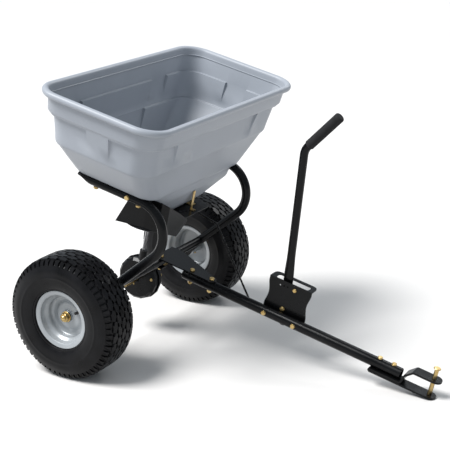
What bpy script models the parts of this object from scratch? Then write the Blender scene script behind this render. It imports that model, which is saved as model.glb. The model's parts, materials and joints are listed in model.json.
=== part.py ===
# Tow-behind broadcast spreader, parked with its hitch on the ground.
#
# The machine is drawn level, in its own axes: origin at the middle of the axle,
# +X towards the hitch, +Y to the left, +Z up. The empty "machine" then tips it
# nose down about the axle until the hitch strap meets the ground, and moves it
# so that the world origin is under the middle of the object's box.
#
# One empty stands on each joint axis, and carries the pieces that move with it.

import math

import bmesh
import bpy
from mathutils import Matrix, Vector

# ---------------------------------------------------------------- dimensions
# metres, in machine axes

GAP = 0.0003                 # between pieces that touch
RUNNING = 0.0003             # radial clearance of a turning or sliding fit
BOLT_CLEARANCE = 0.0003      # radial clearance of a bolt in its hole

TYRE_RADIUS = 0.184
TYRE_WIDTH = 0.140
TYRE_WALL = 0.007
TRACK = 0.686                # between the wheels' middle planes
RIM_RADIUS = 0.088           # top of the flange
RIM_WIDTH = 0.112
RIM_WALL = 0.003
BEAD_RADIUS = 0.077
DROP_RADIUS = 0.066
DISC_OFFSET = 0.012          # disc's outer face, outboard of the middle plane
HUB_RADIUS = 0.017
HUB_BORE = 0.013
VALVE_ANGLE = math.radians(38.6)
VALVE_OFFSET = 0.0235
HUB_INBOARD = 0.044
HUB_OUTBOARD = 0.024

AXLE_RADIUS = 0.008
WASHER_RADIUS = 0.016
WASHER_THICKNESS = 0.002
AXLE_NUT_FLATS = 0.024
AXLE_NUT_HEIGHT = 0.011

HOOP_RADIUS = 0.014
HOOP_WALL = 0.002
HOOP_OFFSET = 0.240          # hoop planes, left and right of the middle
HOOP_HEIGHT = 0.3712         # centre line of the upper arm, above the axle
HOOP_REAR = -0.118
HOOP_FRONT_ARC = 0.098       # centre of the front arc, ahead of the axle
HOOP_BEND = 0.092
LUG_HALF_WIDTH = 0.019
LUG_HALF_THICKNESS = 0.005
BUSHING_WALL = 0.003
BUSHING_FLANGE = 0.002

CROSS_RADIUS = 0.013
TOW_RADIUS = 0.0159
TOW_WALL = 0.002
TOW_HEIGHT = 0.0825          # centre line, above the axle
TOW_REAR = 0.154
TOW_FRONT = 0.889
PLATE_THICKNESS = 0.004
PLATE_REAR = 0.050
PLATE_FRONT = 0.268
PLATE_NEAR = 0.018
PLATE_FAR = 0.085

RIM_HALF_LENGTH = 0.208      # hopper rim, along X
RIM_HALF_BREADTH = 0.408     # hopper rim, along Y
RIM_HEIGHT = 0.635           # middle of the rolled edge
RIM_ROLL = 0.011
HOPPER_WALL = 0.005
HOPPER_CORNER = 0.080
NECK_INSET = 0.018
NECK_BASE = 0.579
BAND_BASE = 0.489
BAND_HALF_LENGTH = 0.166
BAND_HALF_BREADTH = 0.357
LEDGE_HALF_LENGTH = 0.143
LEDGE_HALF_BREADTH = 0.262
SUMP_HALF_LENGTH = 0.126
SUMP_BASE = 0.347            # where the side walls turn in
FUNNEL_HEIGHT = 0.308        # where the last slope to the floor starts
FUNNEL_HALF_LENGTH = 0.110
FUNNEL_HALF_BREADTH = 0.112
FLOOR_HALF_LENGTH = 0.096
FLOOR_HALF_BREADTH = 0.066
FLOOR_HEIGHT = 0.2895

OUTLET_REAR = 0.058
OUTLET_FRONT = 0.069
OUTLET_HALF_BREADTH = 0.030
GATE_THICKNESS = 0.0025
GATE_MARGIN = 0.004
OUTLET_PLATE_THICKNESS = 0.0025
OUTLET_PLATE_REAR = -0.105
OUTLET_PLATE_FRONT = 0.150
OUTLET_PLATE_HALF_BREADTH = 0.092
OUTLET_PLATE_CHAMFER = 0.018

SHAFT_RADIUS = 0.006
SHAFT_BASE = 0.030
SHAFT_TOP = 0.345
IMPELLER_RADIUS = 0.087
IMPELLER_HEIGHT = 0.200
FIN_COUNT = 6
FIN_HEIGHT = 0.022

RING_TEETH = 40
PINION_TEETH = 10
RING_INNER = 0.043
RING_OUTER = 0.054
PINION_RADIUS = 0.0125
PINION_ROOT = 0.0098
MESH_DEPTH = 0.0018
GEAR_FACE = 0.0035           # height of the ring's teeth
CASE_RADIUS = 0.068
CASE_WALL = 0.0025
CASE_NEAR = -0.016
CASE_SPLIT = 0.0135
CASE_FAR = 0.034
PINION_BUSH_RADIUS = 0.012
PINION_BUSH_TOP = 0.097

BRACKET_FACE = TOW_RADIUS + GAP
BRACKET_THICKNESS = 0.003
BRACKET_MIDDLE = 0.4955
BRACKET_HALF_WIDTH = 0.070
BRACKET_WAIST = 0.063
BRACKET_TOP = 0.191
BRACKET_FLANGE = 0.043
SLOT_HALF_LENGTH = 0.054
SLOT_WIDTH = 0.0275

LEVER_RADIUS = 0.0122
LEVER_WALL = 0.002
LEVER_PIVOT_X = 0.488
LEVER_PIVOT_Z = 0.103
LEVER_LEAN = 6.8             # degrees back from upright
LEVER_LENGTH = 0.490         # pivot to bend
LEVER_ARM = 0.046            # pivot to the control rod's hole
GRIP_LEAN = 32.0             # degrees forward from upright
GRIP_LENGTH = 0.132
GRIP_RADIUS = 0.0148
FLAT_HALF_WIDTH = 0.0155
FLAT_HALF_THICKNESS = 0.006
ROD_RADIUS = 0.003
ROD_PLAY = 0.0016
ROD_END_X = 0.105            # where the rod hooks into the gate

STOP_X = 0.512
STOP_Z = 0.175

STRAP_WIDTH = 0.040
STRAP_THICKNESS = 0.006
STRAP_OVERLAP = 0.094          # along the tow tube
STRAP_REACH = 0.112            # ahead of the tow tube
CLEVIS_GAP = 0.047
CLEVIS_WEB_REACH = 0.005       # the web, ahead of the tow tube
PIN_RADIUS = 0.0063
PIN_REACH = 0.092              # the pin, ahead of the tow tube
PIN_PROUD = 0.034

BOLT_RADIUS = 0.004
BOLT_FLATS = 0.013
HEAD_HEIGHT = 0.0053
NUT_HEIGHT = 0.0065

DEFLECTOR_THICKNESS = 0.002
DEFLECTOR_BOLT_X = 0.060
DEFLECTOR_BASE = 0.274
DEFLECTOR_WING_X = 0.165

ROUND = 10                   # sides of tubes
HOLE_SIDES = 8
WHEEL_SIDES = 26

# ------------------------------------------------------------ worked-out sizes

HOOP_CENTRE_Z = HOOP_HEIGHT - HOOP_BEND
ARM_REACH = math.hypot(HOOP_FRONT_ARC, HOOP_CENTRE_Z)
ARM_ANGLE = math.atan2(HOOP_CENTRE_Z, HOOP_FRONT_ARC) - math.asin(HOOP_BEND / ARM_REACH)
ARM_LENGTH = math.sqrt(ARM_REACH ** 2 - HOOP_BEND ** 2)

TOW_TOP = TOW_HEIGHT + TOW_RADIUS
TOW_BOTTOM = TOW_HEIGHT - TOW_RADIUS
CROSS_HEIGHT = TOW_TOP - CROSS_RADIUS
CROSS_X = CROSS_HEIGHT / math.tan(ARM_ANGLE)
CROSS_END = HOOP_OFFSET - HOOP_RADIUS - GAP
PLATE_TOP = TOW_TOP + GAP + PLATE_THICKNESS

FOOT_TOP = TOW_BOTTOM - GAP
FOOT_BASE = FOOT_TOP - STRAP_THICKNESS
STRAP_REAR = TOW_FRONT - STRAP_OVERLAP
STRAP_FRONT = TOW_FRONT + STRAP_REACH
CLEVIS_WEB = TOW_FRONT + CLEVIS_WEB_REACH
PIN_X = TOW_FRONT + PIN_REACH
LOWER_TOP = FOOT_BASE - GAP
LOWER_BASE = LOWER_TOP - STRAP_THICKNESS
UPPER_BASE = LOWER_TOP + CLEVIS_GAP
UPPER_TOP = UPPER_BASE + STRAP_THICKNESS
PITCH = math.asin(TYRE_RADIUS / math.hypot(STRAP_FRONT, LOWER_BASE)) + math.atan2(LOWER_BASE, STRAP_FRONT)

BAND_HALF_TOP = RIM_HALF_LENGTH - NECK_INSET
LEDGE_HEIGHT = HOOP_HEIGHT + HOOP_RADIUS + GAP
SUMP_HALF_BREADTH = HOOP_OFFSET - HOOP_RADIUS - DEFLECTOR_THICKNESS - 2 * GAP
GATE_TOP = FLOOR_HEIGHT - GAP
GATE_BASE = GATE_TOP - GATE_THICKNESS
OUTLET_PLATE_TOP = GATE_BASE - GAP
OUTLET_PLATE_BASE = OUTLET_PLATE_TOP - OUTLET_PLATE_THICKNESS

WHEEL_OFFSET = TRACK / 2
LEVER_PLANE = BRACKET_FACE + BRACKET_THICKNESS + 0.0012 + LEVER_RADIUS
ROD_PLANE = LEVER_PLANE + FLAT_HALF_THICKNESS + ROD_RADIUS + 0.001
BRACKET_BOLT_SPREAD = 0.0495

FINISHES = {                 # colour, roughness, metallic
    "poly": ((0.42, 0.47, 0.53), 0.55, 0.0),
    "black_coat": ((0.012, 0.012, 0.014), 0.32, 0.0),
    "rim_paint": ((0.50, 0.52, 0.50), 0.45, 0.1),
    "tyre_rubber": ((0.018, 0.018, 0.020), 0.75, 0.0),
    "zinc": ((0.62, 0.47, 0.22), 0.30, 1.0),
    "nylon": ((0.03, 0.03, 0.03), 0.50, 0.0),
    "steel": ((0.45, 0.45, 0.46), 0.35, 1.0),
    "foam": ((0.02, 0.02, 0.022), 0.90, 0.0),
}


# -------------------------------------------------------------------- helpers

def clear_scene():
    for obj in list(bpy.data.objects):
        bpy.data.objects.remove(obj, do_unlink=True)


def add_empty(name, location, parent=None, tilt=0.0):
    empty = bpy.data.objects.new(name, None)
    empty.location = location
    empty.rotation_euler = (0.0, tilt, 0.0)
    empty.parent = parent
    bpy.context.scene.collection.objects.link(empty)
    return empty


def add_piece(name, bm, finish, parent, location=(0, 0, 0), smooth=True):
    """Turns a bmesh, drawn around its own origin, into a named piece."""
    bmesh.ops.recalc_face_normals(bm, faces=bm.faces)
    if bm.calc_volume(signed=True) < 0:
        bmesh.ops.reverse_faces(bm, faces=bm.faces)
    mesh = bpy.data.meshes.new(name)
    bm.to_mesh(mesh)
    bm.free()
    if smooth:
        mesh.shade_smooth()
        mesh.set_sharp_from_angle(angle=math.radians(35))
    colour, roughness, metallic = FINISHES[finish]
    material = bpy.data.materials.new(name)
    material.use_nodes = True
    shader = material.node_tree.nodes["Principled BSDF"]
    shader.inputs["Base Color"].default_value = (*colour, 1.0)
    shader.inputs["Roughness"].default_value = roughness
    shader.inputs["Metallic"].default_value = metallic
    mesh.materials.append(material)
    obj = bpy.data.objects.new(name, mesh)
    obj.location = location
    obj.parent = parent
    bpy.context.scene.collection.objects.link(obj)
    return obj


def boolean(obj, other, operation):
    other.hide_render = True
    other.display_type = "WIRE"
    modifier = obj.modifiers.new(other.name, "BOOLEAN")
    modifier.operation = operation
    modifier.solver = "EXACT"
    modifier.object = other


def cut_hole(obj, centre, axis, radius, length, sides=HOLE_SIDES):
    """Cuts a round hole through obj, given in the frame of obj's parent."""
    bm = bmesh.new()
    bmesh.ops.create_cone(bm, cap_ends=True, segments=sides, radius1=radius, radius2=radius, depth=length)
    turn = Vector((0, 0, 1)).rotation_difference(Vector(axis)).to_matrix().to_4x4()
    turn = turn @ Matrix.Rotation(math.pi / sides, 4, "Z")
    bmesh.ops.transform(bm, matrix=Matrix.Translation(centre) @ turn, verts=bm.verts)
    cutter = add_piece(f"{obj.name}_hole_{len(obj.modifiers)}", bm, "steel", obj.parent, smooth=False)
    boolean(obj, cutter, "DIFFERENCE")


def add_ring(bm, points):
    verts = [bm.verts.new(p) for p in points]
    edges = [bm.edges.new((verts[i - 1], verts[i])) for i in range(len(verts))]
    return verts, edges


def join_rings(bm, first, second):
    """Fills between two rings that start on the same side, each with its own count of points."""
    i = 0
    j = 0
    while i < len(first) or j < len(second):
        lead = (i + 1) * len(second) - (j + 1) * len(first)
        corners = [first[i % len(first)]]
        if lead <= 0:
            i += 1
            corners.append(first[i % len(first)])
        if lead >= 0:
            corners += [second[(j + 1) % len(second)], second[j % len(second)]]
            j += 1
        else:
            corners.append(second[j % len(second)])
        bm.faces.new(corners)


def skin(bm, rings, closed=False):
    """Joins a row of rings, and caps its two ends or joins them."""
    loops = [[bm.verts.new(p) for p in ring] for ring in rings]
    for first, second in zip(loops, loops[1:]):
        join_rings(bm, first, second)
    if closed:
        join_rings(bm, loops[-1], loops[0])
    else:
        bm.faces.new(loops[0])
        bm.faces.new(loops[-1])


def turned(profile, axis="Y", sides=WHEEL_SIDES, solid=False):
    """Turns (along, radius) points about an axis: a ring, or a solid that meets the axis."""
    bm = bmesh.new()
    if axis == "Y":
        points = [(0.0, along, radius) for along, radius in profile]
        direction = (0, 1, 0)
    else:
        points = [(radius, 0.0, along) for along, radius in profile]
        direction = (0, 0, 1)
    verts = [bm.verts.new(p) for p in points]
    edges = [bm.edges.new(pair) for pair in zip(verts, verts[1:])]
    if not solid:
        edges.append(bm.edges.new((verts[-1], verts[0])))
    bmesh.ops.spin(bm, geom=verts + edges, axis=direction, cent=(0, 0, 0), angle=math.tau, steps=sides,
                   use_merge=True)
    bmesh.ops.remove_doubles(bm, verts=bm.verts, dist=1e-6)
    return bm


def tube_ring(centre, across, up, half_across, half_up, sides=ROUND):
    ring = []
    for i in range(sides):
        a = math.tau * (i + 0.5) / sides
        ring.append(centre + across * (half_across * math.cos(a)) + up * (half_up * math.sin(a)))
    return ring


def swept_rings(points, sizes, sides=ROUND, across=Vector((0, 1, 0))):
    """Rings square to a path; across is carried along, so the tube doesn't twist."""
    points = [Vector(p) for p in points]
    rings = []
    for i, point in enumerate(points):
        ahead = points[min(i + 1, len(points) - 1)] - point
        behind = point - points[max(i - 1, 0)]
        along = (ahead.normalized() + behind.normalized()).normalized()
        across = (across - along * across.dot(along)).normalized()
        rings.append(tube_ring(point, across, across.cross(along), *sizes[i], sides=sides))
    return rings


def rounded_path(corners, radius, steps=5):
    """A path through the corners, each turned with an arc of the given radius."""
    corners = [Vector(c) for c in corners]
    path = [corners[0]]
    for before, corner, after in zip(corners, corners[1:], corners[2:]):
        back = (before - corner).normalized()
        front = (after - corner).normalized()
        half = back.angle(front) / 2
        reach = radius / math.tan(half)
        middle = corner + (back + front).normalized() * (radius / math.sin(half))
        start = corner + back * reach - middle
        turn = math.pi - 2 * half
        end = corner + front * reach - middle
        axis = start.cross(end).normalized()
        for k in range(steps + 1):
            path.append(middle + Matrix.Rotation(turn * k / steps, 3, axis) @ start)
    path.append(corners[-1])
    return path


def rounded_rectangle(half_x, half_y, corner, z, steps=5, shift=(0.0, 0.0)):
    ring = []
    for sx, sy, start in ((1, 1, 0), (-1, 1, 90), (-1, -1, 180), (1, -1, 270)):
        for k in range(steps + 1):
            a = math.radians(start + 90 * k / steps)
            x = sx * (half_x - corner) + corner * math.cos(a) + shift[0]
            y = sy * (half_y - corner) + corner * math.sin(a) + shift[1]
            ring.append(Vector((x, y, z)))
    return ring


def circle(centre, radius, sides=12):
    return [(centre[0] + radius * math.cos(math.tau * i / sides),
             centre[1] + radius * math.sin(math.tau * i / sides)) for i in range(sides)]


def flat_plate(outline, holes, low, high):
    """A flat plate from a 2-D outline with holes, between two heights."""
    bm = bmesh.new()
    edges = []
    for loop in [outline, *holes]:
        edges += add_ring(bm, [(x, y, low) for x, y in loop])[1]
    bmesh.ops.triangle_fill(bm, edges=edges, use_beauty=True, normal=(0, 0, 1))
    bmesh.ops.dissolve_limit(bm, angle_limit=0.01, verts=bm.verts, edges=bm.edges)
    grown = bmesh.ops.extrude_face_region(bm, geom=list(bm.faces), use_keep_orig=True)
    top = [item for item in grown["geom"] if isinstance(item, bmesh.types.BMVert)]
    bmesh.ops.translate(bm, verts=top, vec=(0, 0, high - low))
    return bm


def stand_up(bm, y_of_bottom):
    """Turns a plate drawn in XY to stand in XZ, its bottom face towards -Y at y_of_bottom."""
    turn = Matrix(((1, 0, 0, 0), (0, 0, 1, y_of_bottom), (0, 1, 0, 0), (0, 0, 0, 1)))
    bmesh.ops.transform(bm, matrix=turn, verts=bm.verts)
    bmesh.ops.reverse_faces(bm, faces=bm.faces)


def hex_ring(flats, z):
    return round_ring(flats / 2 / math.cos(math.radians(30)), z, sides=6)


def round_ring(radius, z, sides=HOLE_SIDES):
    ring = []
    for i in range(sides):
        a = math.tau * (i + 0.5) / sides
        ring.append(Vector((radius * math.cos(a), radius * math.sin(a), z)))
    return ring


def bolt(name, parent, seat, axis, grip, radius=BOLT_RADIUS, flats=BOLT_FLATS, head=HEAD_HEIGHT,
         nut=NUT_HEIGHT, tip=0.003, finish="zinc"):
    """A bolt with its nut. seat is under the head, axis runs from the seat out through the head."""
    bm = bmesh.new()
    rings = [hex_ring(flats, head), hex_ring(flats, GAP), round_ring(radius, GAP)]
    if nut:
        rings += [round_ring(radius, -grip - GAP), hex_ring(flats, -grip - GAP), hex_ring(flats, -grip - nut),
                  round_ring(radius, -grip - nut)]
    rings.append(round_ring(radius, -grip - nut - tip))
    skin(bm, rings)
    turn = Vector((0, 0, 1)).rotation_difference(Vector(axis)).to_matrix().to_4x4()
    bmesh.ops.transform(bm, matrix=turn, verts=bm.verts)
    return add_piece(name, bm, finish, parent, location=seat)


# ---------------------------------------------------------------------- wheels

def tyre_profile():
    half = TYRE_WIDTH / 2
    side = half / 0.070
    crown = TYRE_RADIUS
    bead = BEAD_RADIUS + RUNNING
    flange = RIM_WIDTH / 2
    outer = [(flange - 0.018, bead), (flange - 0.006, bead), (flange - 0.0045, RIM_RADIUS + 0.001),
             (0.060 * side, RIM_RADIUS + 0.004), (0.068 * side, RIM_RADIUS + 0.024), (half, RIM_RADIUS + 0.046),
             (0.066 * side, crown - 0.024), (0.054 * side, crown - 0.008), (0.038 * side, crown - 0.002),
             (0.014 * side, crown)]
    inner = [(0.046 * side, crown - TYRE_WALL - 0.012), (half - TYRE_WALL, RIM_RADIUS + 0.046),
             (flange - 0.018, RIM_RADIUS)]
    mirror = [(-y, r) for y, r in reversed(outer)]
    return outer + mirror + [(-y, r) for y, r in reversed(inner)] + inner


def rim_profile(bore):
    flange = RIM_WIDTH / 2
    wall = RIM_WALL
    lip = RIM_RADIUS
    face = DISC_OFFSET
    step = 0.005
    return [(flange, lip), (flange - 0.003, lip), (flange - 0.005, BEAD_RADIUS), (0.035, BEAD_RADIUS - 0.001),
            (0.027, DROP_RADIUS), (-0.027, DROP_RADIUS), (-0.035, BEAD_RADIUS - 0.001),
            (0.005 - flange, BEAD_RADIUS), (0.003 - flange, lip), (-flange, lip),
            (-flange, lip - wall), (0.002 - flange, BEAD_RADIUS - wall), (-0.037, BEAD_RADIUS - 0.001 - wall),
            (-0.029, DROP_RADIUS - wall), (face - wall, DROP_RADIUS - wall), (face - wall, 0.047),
            (face + step - wall, 0.039), (face + step - wall, HUB_RADIUS), (-HUB_INBOARD, HUB_RADIUS),
            (-HUB_INBOARD, bore), (HUB_OUTBOARD, bore), (HUB_OUTBOARD, HUB_RADIUS),
            (face + step, HUB_RADIUS), (face + step, 0.039), (face, 0.047), (face, DROP_RADIUS - wall),
            (0.029, DROP_RADIUS - wall), (0.037, BEAD_RADIUS - 0.001 - wall), (flange - 0.002, BEAD_RADIUS - wall),
            (flange, lip - wall)]


def outboard(profile, side):
    """Mirrors a turned profile so that its +along side faces away from the machine."""
    return [(side * along, radius) for along, radius in profile]


def build_wheel_bushing(parent, side):
    """The free wheel turns on the axle in a flanged sleeve."""
    body = HUB_BORE - GAP
    bore = AXLE_RADIUS + RUNNING
    rim_side = HUB_OUTBOARD + GAP
    end = rim_side + BUSHING_FLANGE
    sleeve = [(rim_side, body), (rim_side, HUB_RADIUS), (end, HUB_RADIUS), (end, bore), (-HUB_INBOARD, bore),
              (-HUB_INBOARD, body)]
    add_piece("right_wheel_bushing", turned(outboard(sleeve, side), sides=16), "nylon", parent)


def build_wheel(prefix, side, bore, parent):
    add_piece(f"{prefix}_tyre", turned(outboard(tyre_profile(), side)), "tyre_rubber", parent)
    add_piece(f"{prefix}_rim", turned(outboard(rim_profile(bore), side)), "rim_paint", parent)
    stem = turned([(0.0, 0.0), (0.0, 0.0042), (0.018, 0.0036), (0.021, 0.0036), (0.021, 0.0045), (0.029, 0.0045),
                   (0.030, 0.0030), (0.030, 0.0)], sides=10, solid=True)
    outward = Vector((math.cos(VALVE_ANGLE), 0.0, math.sin(VALVE_ANGLE)))
    turn = Vector((0, 1, 0)).rotation_difference(-outward).to_matrix().to_4x4()
    bmesh.ops.transform(stem, matrix=turn, verts=stem.verts)
    valve = outward * (DROP_RADIUS - RIM_WALL - 0.0012)
    valve.y = side * VALVE_OFFSET
    add_piece(f"{prefix}_valve_stem", stem, "nylon", parent, valve)


def build_axle_ends(parent):
    """Washers and domed nuts that hold the wheels on."""
    for prefix, side in (("right", -1), ("left", 1)):
        start = WHEEL_OFFSET + HUB_OUTBOARD + BUSHING_FLANGE + 2 * GAP
        end = start + WASHER_THICKNESS
        ring = [(start, AXLE_RADIUS + GAP), (start, WASHER_RADIUS), (end, WASHER_RADIUS), (end, AXLE_RADIUS + GAP)]
        add_piece(f"{prefix}_wheel_washer", turned(outboard(ring, side), sides=16), "zinc", parent)
        bm = bmesh.new()
        low = end + GAP
        flats = AXLE_NUT_FLATS
        top = low + AXLE_NUT_HEIGHT
        bore = AXLE_RADIUS + GAP
        rings = [round_ring(bore, top, 16), round_ring(bore, low, 16), hex_ring(flats, low), hex_ring(flats, top),
                 round_ring(flats * 0.42, top + 0.002, 12), round_ring(flats * 0.30, top + 0.006, 12),
                 round_ring(flats * 0.12, top + 0.008, 12)]
        skin(bm, rings)
        turn = Vector((0, 0, 1)).rotation_difference(Vector((0, side, 0))).to_matrix().to_4x4()
        bmesh.ops.transform(bm, matrix=turn, verts=bm.verts)
        add_piece(f"{prefix}_wheel_nut", bm, "zinc", parent)


def axle_half_length():
    return WHEEL_OFFSET + HUB_OUTBOARD + BUSHING_FLANGE + WASHER_THICKNESS + 3 * GAP + AXLE_NUT_HEIGHT - GAP


def build_axle(parent):
    half = axle_half_length()
    axle = add_piece("axle", turned([(-half, 0.0), (-half, AXLE_RADIUS), (half, AXLE_RADIUS), (half, 0.0)],
                                    sides=20, solid=True), "zinc", parent)
    pin = 0.0022
    cotter_y = CASE_NEAR - 0.012
    cut_hole(axle, (0, cotter_y, 0), (0, 0, 1), pin + GAP, 0.04)
    profile = [(-0.014, 0.0), (-0.014, pin), (0.013, pin), (0.013, pin + 0.002), (0.016, pin + 0.002), (0.016, 0.0)]
    bm = turned(profile, axis="Z", sides=10, solid=True)
    add_piece("axle_pin", bm, "zinc", parent, (0, cotter_y, 0))


def build_drive_pin(parent, axle, rim):
    """Locks the left wheel's hub to the axle."""
    place = WHEEL_OFFSET - 0.005
    radius = 0.003
    length = HUB_RADIUS + 0.006
    for piece in (axle, rim):
        local = place if piece is axle else place - WHEEL_OFFSET
        cut_hole(piece, (0, local, 0), (0, 0, 1), radius + GAP, 2 * HUB_RADIUS + 0.004)
    profile = [(-length, 0.0), (-length, radius), (length, radius), (length, 0.0)]
    add_piece("drive_pin", turned(profile, axis="Z", sides=10, solid=True), "zinc", parent, (0, place, 0))


# --------------------------------------------------------------------- gearing

def tooth_box(bm, middle, half_sizes, turn):
    made = bmesh.ops.create_cube(bm, size=1.0)
    scale = Matrix.Diagonal((2 * half_sizes[0], 2 * half_sizes[1], 2 * half_sizes[2], 1.0))
    bmesh.ops.transform(bm, matrix=turn @ Matrix.Translation(middle) @ scale, verts=made["verts"])


def build_ring_gear(parent):
    """A crown gear: its teeth stand on the disc's face, towards the pinion."""
    tips = PINION_RADIUS - MESH_DEPTH
    face = tips + GEAR_FACE
    back = face + 0.006
    disc = turned([(face, AXLE_RADIUS + GAP), (face, RING_OUTER), (back, RING_OUTER), (back, AXLE_RADIUS + GAP)],
                  sides=RING_TEETH)
    step = math.tau / RING_TEETH
    half_angle = step * 0.14
    sunk = []
    for k in range(RING_TEETH):
        turn = Matrix.Rotation(step * (k + 0.5), 4, "Y")
        for sign, radius in ((-1, RING_INNER), (-1, RING_OUTER - 0.001), (1, RING_OUTER - 0.001), (1, RING_INNER)):
            sunk.append(turn @ Vector((radius * math.tan(sign * half_angle), 0.0, radius)))
    add_piece("ring_gear", disc, "steel", parent)
    teeth = bmesh.new()
    for k in range(RING_TEETH):
        corners = sunk[4 * k:4 * k + 4]
        base = [Vector((c.x, face + 0.001, c.z)) for c in corners]
        crest = [Vector((c.x, tips, c.z)) for c in corners]
        skin(teeth, [base, crest])
    cutter = add_piece("ring_gear_teeth", teeth, "steel", parent, smooth=False)
    boolean(bpy.data.objects["ring_gear"], cutter, "UNION")


def build_pinion(parent):
    """A small spur gear on the upright shaft, its teeth as long as the crown's are wide."""
    bore = SHAFT_RADIUS + GAP
    low = RING_INNER - 0.001
    high = RING_OUTER
    outline = []
    step = math.tau / PINION_TEETH
    for k in range(PINION_TEETH):
        middle = math.pi / 2 + step * k
        for radius, offset in ((PINION_ROOT, -0.30), (PINION_RADIUS, -0.105), (PINION_RADIUS, 0.105),
                               (PINION_ROOT, 0.30)):
            a = middle + step * offset
            outline.append((radius * math.cos(a), radius * math.sin(a)))
    bm = flat_plate(outline, [circle((0, 0), bore, 20)], low, high)
    add_piece("pinion", bm, "steel", parent, smooth=False)


def case_half(split, end, side):
    """One cup of the gear case, open at the split, with a hole for the axle."""
    wall = CASE_WALL
    hole = AXLE_RADIUS + RUNNING
    lip = CASE_RADIUS + 0.004
    rim = side * 0.003
    return turned([(end, hole), (end, CASE_RADIUS - 0.008), (end - side * 0.008, CASE_RADIUS),
                   (split + rim, CASE_RADIUS), (split + rim, lip), (split, lip), (split, CASE_RADIUS - wall),
                   (end - side * 0.009, CASE_RADIUS - wall), (end - side * wall, CASE_RADIUS - 0.010),
                   (end - side * wall, hole)], sides=16)


def build_gear_case(parent):
    right = add_piece("gear_case_right", case_half(CASE_SPLIT, CASE_NEAR, -1), "black_coat", parent)
    left = add_piece("gear_case_left", case_half(CASE_SPLIT + GAP, CASE_FAR, 1), "black_coat", parent)
    lug_top = CROSS_HEIGHT - CROSS_RADIUS - GAP
    reach = CASE_RADIUS - 0.0012
    outline = [(reach * math.cos(math.radians(62)), reach * math.sin(math.radians(62))),
               (CROSS_X - 0.014, lug_top), (CROSS_X + 0.016, lug_top), (CROSS_X + 0.016, lug_top - 0.006),
               (CROSS_X - 0.010, lug_top - 0.006),
               (reach * math.cos(math.radians(40)), reach * math.sin(math.radians(40)))]
    lug = flat_plate(outline, [], 0.0, 0.022)
    stand_up(lug, -0.011)
    lug = add_piece("gear_case_lug", lug, "black_coat", parent, smooth=False)
    boolean(right, lug, "UNION")
    cut_hole(right, (0, 0, CASE_RADIUS), (0, 0, 1), PINION_BUSH_RADIUS + GAP, 0.03, sides=16)
    cut_hole(right, (CROSS_X, 0, lug_top), (0, 0, 1), BOLT_RADIUS + BOLT_CLEARANCE, 0.03)
    base = RING_OUTER + 0.002
    bush = turned([(base, SHAFT_RADIUS + RUNNING), (base, PINION_BUSH_RADIUS), (PINION_BUSH_TOP, PINION_BUSH_RADIUS),
                   (PINION_BUSH_TOP, SHAFT_RADIUS + RUNNING)], axis="Z", sides=16)
    add_piece("lower_shaft_bushing", bush, "nylon", parent)
    screw_circle = CASE_RADIUS - 0.009
    for k, angle in enumerate((20, 200)):
        a = math.radians(angle)
        centre = (screw_circle * math.cos(a), CASE_NEAR, screw_circle * math.sin(a))
        radius = 0.0025
        for half in (right, left):
            cut_hole(half, (centre[0], (CASE_NEAR + CASE_FAR) / 2, centre[2]), (0, 1, 0), radius + GAP,
                     CASE_FAR - CASE_NEAR + 0.01, sides=10)
        bolt(f"gear_case_screw_{k + 1}", parent, centre, (0, -1, 0), CASE_FAR - CASE_NEAR, radius=radius,
             flats=0.008, head=0.0035, nut=0.004, tip=0.001)


def build_impeller(parent):
    shaft_profile = [(SHAFT_BASE, 0.0), (SHAFT_BASE, SHAFT_RADIUS), (SHAFT_TOP, SHAFT_RADIUS), (SHAFT_TOP, 0.0)]
    shaft = add_piece("impeller_shaft", turned(shaft_profile, axis="Z", sides=16, solid=True), "steel", parent)
    pin = 0.0025
    pin_z = SHAFT_TOP - 0.012
    cut_hole(shaft, (0, 0, pin_z), (1, 0, 0), pin + GAP, 0.03)
    agitator = turned([(-0.038, 0.0), (-0.038, pin), (0.038, pin), (0.038, 0.0)], sides=8, solid=True)
    bmesh.ops.transform(agitator, matrix=Matrix.Rotation(math.pi / 2, 4, "Z"), verts=agitator.verts)
    add_piece("agitator_pin", agitator, "steel", parent, (0, 0, pin_z))
    top = IMPELLER_HEIGHT + 0.003
    bore = SHAFT_RADIUS + GAP
    disc = turned([(IMPELLER_HEIGHT, bore), (IMPELLER_HEIGHT + 0.002, IMPELLER_RADIUS),
                   (top + 0.002, IMPELLER_RADIUS), (top, 0.016), (top + 0.024, 0.013), (top + 0.024, bore)],
                  axis="Z", sides=WHEEL_SIDES)
    disc = add_piece("impeller", disc, "black_coat", parent)
    fins = bmesh.new()
    for k in range(FIN_COUNT):
        turn = Matrix.Rotation(math.tau * k / FIN_COUNT, 4, "Z")
        start = 0.0115
        stop = IMPELLER_RADIUS - 0.004
        low = top - 0.001
        outline = [(start, low), (stop, low), (stop, low + FIN_HEIGHT), (start, low + FIN_HEIGHT * 0.8)]
        rings = [[turn @ Vector((x, y, z)) for x, z in outline] for y in (-0.0012, 0.0012)]
        skin(fins, rings)
    boolean(disc, add_piece("impeller_fins", fins, "black_coat", parent, smooth=False), "UNION")


# ----------------------------------------------------------------------- frame

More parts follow.
